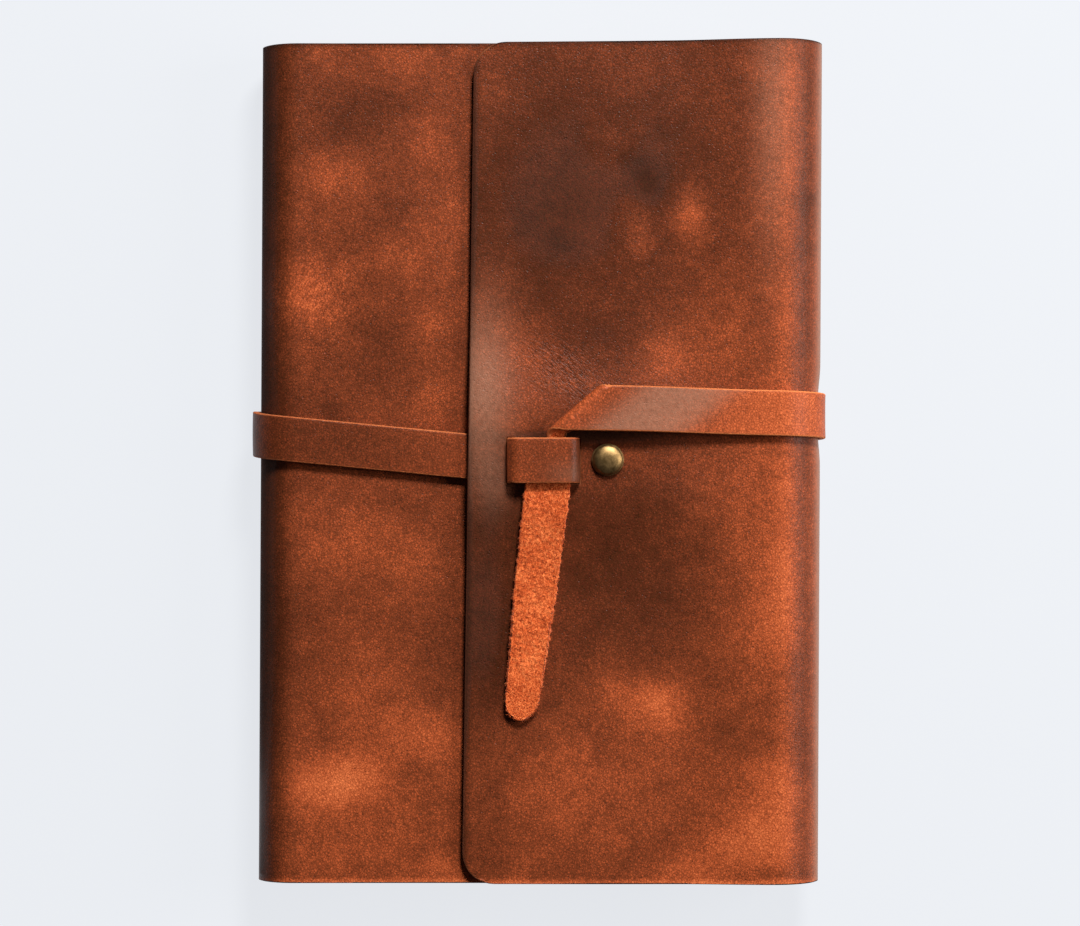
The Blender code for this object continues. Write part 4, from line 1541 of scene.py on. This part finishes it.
    def build(self, finishes: Finishes) -> None:
        """Make the strap's pieces, dress them and hang the keeper on the flap."""
        hide = self.hide
        offset = self.gap + self.thickness
        track = hide.track(offset)
        spine_length = track.stretches[1][0]
        fore_length = track.stretches[3][0]
        spine_middle_at = hide.spine_start + spine_length / 2
        back_from = hide.spine_start + spine_length
        back_middle_at = back_from - hide.spine_x
        fore_from = back_from + hide.fore_x - hide.spine_x
        fore_middle_at = fore_from + fore_length / 2
        cut_at = hide.front_edge_x - self.loop_end_x + 0.15

        def lie(x: np.ndarray) -> np.ndarray:
            """Let the front run lie down on the panel, tight at the spine."""
            return -0.12 * ease((x - hide.spine_x) / 14.0)

        front = self.band(
            "strap_over_front", track, (cut_at, spine_middle_at),
            (self.y_under_flap, self.y_spine), -1.0, (False, True), 60.0, lie,
        )
        back_left = self.band(
            "strap_under_back_spine_side", track, (spine_middle_at, back_middle_at),
            (self.y_spine, self.y_back), -1.0, (True, True), 125.0,
        )
        back_right = self.band(
            "strap_under_back_fore_side", track, (back_middle_at, fore_middle_at),
            (self.y_back, self.y_fore), -1.0, (True, True), 190.0,
        )
        pieces = (
            (front, ("strap_front_run",)),
            (back_left, ("strap_spine_wrap",)),
            (back_right, ("strap_back_run",)),
            (self.free_run(), ("strap_fore_edge_wrap", "strap_free_run")),
        )
        for (piece, nodes), crossing in zip(pieces, hide.crossings()):
            fit(piece, finishes.strap(), "strap_leather", crossing, *nodes)
        fit(self.keeper(), finishes.strap(), "strap_leather", "flap", "strap_keeper_loop")
        hinge = Vector((0.0, self.under_keeper_y - 0.5, hide.flap_z)) * MM
        lifting = Crossing("flap", "strap_end", hinge, hinge - Vector((0.0, 6.0, 0.0)) * MM)
        flesh_up = (finishes.flesh, finishes.strap_grain, finishes.flesh)
        tail = self.tail()
        fit(tail, flesh_up, "leather_flesh_side", lifting, "strap_tail")
        fit(self.nap(tail), (finishes.flesh,), "leather_flesh_side", lifting)

    def nap(self, tail: bpy.types.Object) -> bpy.types.Object:
        """Loose fibres on the tail's flesh side and edges.

        Each fibre is a thin three-sided spike bent once: it leaves a random point of a face, leans over
        along the surface and ends in a tip.

        Args:
            tail: the finished tail.

        Returns:
            The fibres as one piece.
        """
        mesh = tail.data
        chance = np.random.default_rng(5)
        count = len(mesh.polygons)
        kinds = np.zeros(count, np.int32)
        mesh.polygons.foreach_get("material_index", kinds)
        centres = np.zeros(count * 3)
        mesh.polygons.foreach_get("center", centres)
        normals = np.zeros(count * 3)
        mesh.polygons.foreach_get("normal", normals)
        centres, normals = centres.reshape(-1, 3) / MM, normals.reshape(-1, 3)
        upper = np.flatnonzero((kinds == Side.GRAIN.value) & (centres[:, 1] < self.under_keeper_y - 1.2))
        side = np.flatnonzero((kinds == Side.EDGE.value) & (centres[:, 1] < self.under_keeper_y - 1.2))
        areas = np.zeros(count)
        mesh.polygons.foreach_get("area", areas)
        chosen = np.concatenate([
            chance.choice(group, number, p=areas[group] / areas[group].sum())
            for group, number in ((upper, self.nap_upper), (side, self.nap_side))
        ])
        total = len(chosen)
        root = centres[chosen] + chance.normal(0.0, 0.22, (total, 3)) * (1 - np.abs(normals[chosen]))
        lying = unit(np.cross(normals[chosen], chance.normal(0.0, 1.0, (total, 3))))
        lean = unit(lying + normals[chosen] * chance.uniform(0.12, 0.75, (total, 1)))
        length = chance.uniform(0.25, 0.85, (total, 1))
        girth = chance.uniform(0.028, 0.055, (total, 1))
        across = unit(np.cross(lean, normals[chosen]))
        third = unit(np.cross(lean, across))
        droop = chance.normal(0.0, 0.3, (total, 3))
        root = root - normals[chosen] * 0.05
        rings = []
        for share, scale in ((0.0, 1.0), (0.55, 0.75), (1.0, 0.22)):
            middle = root + lean * length * share + droop * length * share**2 * 0.5
            for step in range(3):
                turn = step * 2.0 * math.pi / 3.0
                rings.append(middle + (across * math.cos(turn) + third * math.sin(turn)) * girth * scale)
        points = np.stack(rings, 1).reshape(-1, 3)
        base = np.arange(total)[:, None] * 9
        faces = []
        for low in (0, 3):
            for step in range(3):
                after = (step + 1) % 3
                ends = (step, after, 3 + after, 3 + step)
                faces.append(np.hstack([base + low + end for end in ends]))
        quads = np.concatenate(faces)
        flat = np.stack([points[:, 1], points[:, 0] + STRAP_PLACE, points[:, 2] * 0.0], -1)
        return write_mesh(
            "strap_tail_nap", points, quads, np.zeros(len(quads)), np.ones(len(quads), bool),
            {"hide": flat * MM, "tone": np.zeros(len(points)), "crease": np.zeros(len(points))},
        )


@dataclass
class Rivet:
    """The double-cap rivet that holds the strap's end to the flap."""

    cap_radius: float = 4.25
    cap_height: float = 1.75
    rim: float = 0.30
    post: float = 1.5
    pole: float = 0.3
    segments: int = 72

    def turned(self, name: str, profile: np.ndarray, centre: np.ndarray) -> bpy.types.Object:
        """A turned piece: each profile point goes round a circle about the upright axis.

        Args:
            name: name of the piece.
            profile: radius and height pairs, from the top down, starting and ending near the axis.
            centre: x and y of the axis.

        Returns:
            The piece.
        """
        angle = np.linspace(0.0, 2.0 * math.pi, self.segments, endpoint=False)
        radius, height = profile[:, 0][:, None], profile[:, 1][:, None]
        points = np.stack([
            centre[0] + radius * np.cos(angle),
            centre[1] + radius * np.sin(angle),
            height + 0.0 * angle,
        ], -1)
        rows, columns = points.shape[:2]
        index = np.arange(rows * columns).reshape(rows, columns)
        after = np.roll(index, -1, axis=1)
        walls = np.stack([index[:-1], index[1:], after[1:], after[:-1]], -1).reshape(-1, 4)
        half = columns // 2
        caps = []
        for ring, up in ((index[0], True), (index[-1], False)):
            left, right = ring[:half], ring[::-1][:half]
            strip = np.stack([left[:-1], left[1:], right[1:], right[:-1]], -1)
            caps.append(strip if up else strip[:, ::-1])
        quads = np.concatenate([walls, *caps])
        flat = points.reshape(-1, 3)
        stored = {"hide": flat * MM, "tone": np.zeros(len(flat)), "crease": np.zeros(len(flat))}
        return write_mesh(name, flat, quads, np.zeros(len(quads)), np.ones(len(quads), bool), stored)

    def build(self, finishes: Finishes) -> None:
        """Make both caps: the domed one with a rolled rim, and the flat one behind the flap."""
        low, high = corners("rivet_cap")
        centre = ((low + high) / 2)[:2]
        top = high[2] + 0.05
        rim_z = top - self.cap_height
        turn = np.linspace(0.04, math.pi / 2, 18)
        dome = np.stack([
            (self.cap_radius - 0.25) * np.sin(turn) ** 0.94,
            rim_z + (top - rim_z) * np.cos(turn) ** 0.9,
        ], -1)
        roll = np.linspace(math.pi / 2, -math.pi / 2, 9)
        rim = np.stack([
            self.cap_radius - self.rim + self.rim * np.cos(roll),
            rim_z - 0.22 + self.rim * np.sin(roll),
        ], -1)
        under = np.array([
            [self.cap_radius - 0.9, rim_z - 0.46], [self.post, rim_z - 0.40],
            [self.post, low[2] + 0.2], [self.pole, low[2]],
        ])
        cap = self.turned("rivet_domed_cap", np.concatenate([dome, rim[1:], under]), centre)
        fit(cap, (finishes.brass,), "antique_brass", "flap", "rivet_cap")
        low, high = corners("rivet_back_cap")
        radius = (high[0] - low[0]) / 2
        disc = np.array([
            [self.pole, high[2] - 0.12], [1.1, high[2] - 0.12], [self.post, high[2]],
            [radius - 0.3, high[2]], [radius - 0.08, high[2] - 0.08], [radius, high[2] - 0.3],
            [radius, low[2] + 0.3], [radius - 0.1, low[2] + 0.08], [radius - 0.35, low[2]],
            [1.2, low[2] + 0.05], [self.pole, low[2] + 0.1],
        ])
        back = self.turned("rivet_flat_cap", disc, centre)
        fit(back, (finishes.brass,), "antique_brass", "flap", "rivet_back_cap")


@dataclass
class Notebook:
    """The soft notebook and the two leather sleeves that hold it."""

    corner: float = 7.0
    step: float = 2.5
    leaves: int = 9
    sections: int = 6
    leaf_swell: float = 0.22
    leaf_groove: float = 0.09
    lid_bend: float = 7.0

    def plate(
        self,
        name: str,
        node: str,
        corner: float,
        edge: EdgeShape | None = None,
        shape: Callable[[np.ndarray, np.ndarray, np.ndarray], np.ndarray] | None = None,
        thickness: float | None = None,
    ) -> bpy.types.Object:
        """A thin plate over a node's box, with round corners on its fore-edge side.

        A row of points runs across at each height, and near a corner the row ends on the quarter circle.

        Args:
            name: name of the piece.
            node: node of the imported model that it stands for.
            corner: radius of the two round corners.
            edge: shape of its edge, or a small rounding.
            shape: upper face's height from x, y and the box's top, or flat.
            thickness: thickness, or the box's own.

        Returns:
            The piece.
        """
        low, high = corners(node)
        thick = thickness or high[2] - low[2]
        half = (high[1] - low[1]) / 2
        middle = (high[1] + low[1]) / 2
        angles = np.radians(np.arange(0.0, 91.0, 10.0))
        steps = half - corner * (1.0 - np.cos(angles))
        y = ticks(-half, half, self.step, tuple(np.concatenate([steps, -steps])))
        share, y = np.meshgrid(np.linspace(0.0, 1.0, round((high[0] - low[0]) / self.step)), y, indexing="ij")
        reach = np.clip(np.abs(y) - (half - corner), 0.0, corner)
        right = high[0] - (corner - np.sqrt(corner**2 - reach**2))
        x = low[0] + share * (right - low[0])
        z = np.full(x.shape, high[2]) if shape is None else shape(x, y, high[2])
        top = np.stack([x, y + middle, z], -1)
        flat = np.stack([x, y], -1)
        edge = edge or EdgeShape.rounded(thick, min(0.12, thick * 0.3), 2)
        return Sheet(top, flat, edge).build(name)

    def build(self, finishes: Finishes) -> None:
        """Make the notebook and the sleeves and dress them."""
        low, high = corners("notebook_front_cover")
        start = Vector((low[0], 0.0, high[2])) * MM
        lid_end = start + Vector((self.lid_bend, 0.0, 0.0)) * MM
        covers = (
            ("notebook_back_board", "notebook_back_cover", "back_cover"),
            (
                "notebook_front_board", "notebook_front_cover",
                Crossing("back_cover", "notebook_lid", start, lid_end),
            ),
        )
        for name, node, hold in covers:
            board = self.plate(name, node, self.corner)
            fit(board, (finishes.card,), "notebook_card", hold, node)
        spines = (
            ("notebook_spine_cover", finishes.card, "notebook_card", 0.25),
            ("page_spine_lining", finishes.linen, "book_linen", 0.0),
        )
        for node, finish, slot, bow in spines:
            low, high = corners(node)
            size = high - low
            z, y = np.meshgrid(ticks(low[2], high[2], 1.0), ticks(low[1], high[1], 3.0), indexing="ij")
            share = (z - low[2]) / size[2]
            x = low[0] + bow * (2 * share - 1) ** 2 - bow
            edge = EdgeShape.rounded(size[0], size[0] * 0.25, 2)
            sheet = Sheet(np.stack([x, y, z], -1), np.stack([z, y], -1), edge, (-1.0, 0.0, 0.0))
            fit(sheet.build(node + "_piece"), (finish,), slot, "back_cover", node)
        for number in range(1, self.sections + 1):
            node = f"page_section_{number}"
            low, high = corners(node)
            edge = EdgeShape.leaves(high[2] - low[2] + self.leaf_swell, self.leaves, self.leaf_groove)
            section = self.plate(f"leaves_{number}", node, self.corner, edge)
            fit(section, (finishes.paper,), "paper", "back_cover", node)
        for node in ("back_endpaper", "front_endpaper"):
            paper = self.plate(node + "_leaf", node, self.corner)
            fit(paper, (finishes.paper,), "paper", "back_cover", node)
        self._sleeves(finishes)

    def _sleeves(self, finishes: Finishes) -> None:
        """The two sleeves: thin leather, bonded down along three edges and open towards the spine."""
        low, high = corners("back_sleeve")

        def tray(x: np.ndarray, y: np.ndarray, top: float) -> np.ndarray:
            """Flat over the card, stepping down to the panel along the three bonded edges."""
            half = (high[1] - low[1]) / 2
            from_edge = np.minimum(high[0] - x, half - np.abs(y))
            return top - 0.85 * (1.0 - ease((from_edge - 1.2) / 2.6))

        back = self.plate("back_sleeve_leather", "back_sleeve", 3.0, None, tray, 0.8)
        fit(back, (finishes.sleeve,), "sleeve_leather", "back_cover", "back_sleeve")
        front = self.plate("front_sleeve_leather", "front_sleeve", 3.0)
        fit(front, (finishes.sleeve,), "sleeve_leather", "front_cover", "front_sleeve")


@dataclass
class Studio:
    """A pale floor, soft lights and a camera that looks straight down."""

    picture_width: float = 283.4
    camera_height: float = 820.0
    camera_y: float = -14.0
    sensor: float = 36.0
    subject_z: float = 24.0
    floor_reach: float = 12.0
    floor_z: float = -0.0001
    floor_colour: Colour = (0.065, 0.067, 0.07)
    glow_colour: Colour = (0.752, 0.774, 0.812)

    def floor(self) -> None:
        """A wide pale floor that glows a little, so that it stays even."""
        mesh = bpy.data.meshes.new("studio_floor")
        reach = self.floor_reach
        around = ((-1, -1), (1, -1), (1, 1), (-1, 1))
        mesh.from_pydata([(x * reach, y * reach, self.floor_z) for x, y in around], [], [(0, 1, 2, 3)])
        floor = bpy.data.objects.new("studio_floor", mesh)
        bpy.context.scene.collection.objects.link(floor)
        mix = Recipe("studio_floor")
        mesh.materials.append(mix.finish((*self.floor_colour, 1.0), 1.0, IOR=1.0))
        mix.shader.inputs["Emission Color"].default_value = (*self.glow_colour, 1.0)
        mix.shader.inputs["Emission Strength"].default_value = 1.0

    def lamp(
        self,
        name: str,
        place: tuple[float, float, float],
        size: float,
        power: float,
        colour: Colour,
    ) -> None:
        """A square soft light that shines at the object.

        Args:
            name: name of the light.
            place: where it stands, in metres.
            size: side of the square, in metres.
            power: power in watts.
            colour: colour of the light.
        """
        data = bpy.data.lights.new(name, "AREA")
        data.size = size
        data.energy = power
        data.color = colour
        lamp = bpy.data.objects.new(name, data)
        lamp.location = place
        aim = Vector((0.0, 0.0, 0.02)) - Vector(place)
        lamp.rotation_euler = aim.to_track_quat("-Z", "Y").to_euler()
        bpy.context.scene.collection.objects.link(lamp)

    def camera(self) -> None:
        """Look straight down at the middle of the cover, a little from the foot side."""
        data = bpy.data.cameras.new("camera")
        data.sensor_width = self.sensor
        data.lens = self.sensor * (self.camera_height - self.subject_z) / self.picture_width
        data.shift_y = -self.camera_y / self.picture_width
        data.clip_start, data.clip_end = 0.01, 10.0
        camera = bpy.data.objects.new("camera", data)
        camera.location = (0.0, self.camera_y * MM, self.camera_height * MM)
        bpy.context.scene.collection.objects.link(camera)
        bpy.context.scene.camera = camera

    def build(self) -> None:
        """Set up the floor, the lights, the surroundings and the camera."""
        self.floor()
        self.lamp("key_window", (0.26, 0.86, 0.80), 0.30, 25.0, (1.0, 0.985, 0.96))
        self.lamp("side_window", (0.90, 0.10, 0.52), 0.45, 8.0, (1.0, 0.97, 0.94))
        world = bpy.data.worlds.new("studio")
        world.use_nodes = True
        background = world.node_tree.nodes["Background"]
        background.inputs["Color"].default_value = (0.94, 0.94, 1.0, 1.0)
        background.inputs["Strength"].default_value = 0.05
        bpy.context.scene.world = world
        bpy.context.scene.view_settings.view_transform = "Standard"
        self.camera()


def main() -> None:
    """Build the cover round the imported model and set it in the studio."""
    logging.basicConfig(level=logging.INFO, format="%(name)s %(message)s")
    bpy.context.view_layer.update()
    finishes = Finishes()
    hide = Hide()
    hide.build(finishes)
    Strap(hide).build(finishes)
    Rivet().build(finishes)
    Notebook().build(finishes)
    Studio().build()


if __name__ == "__main__":
    main()
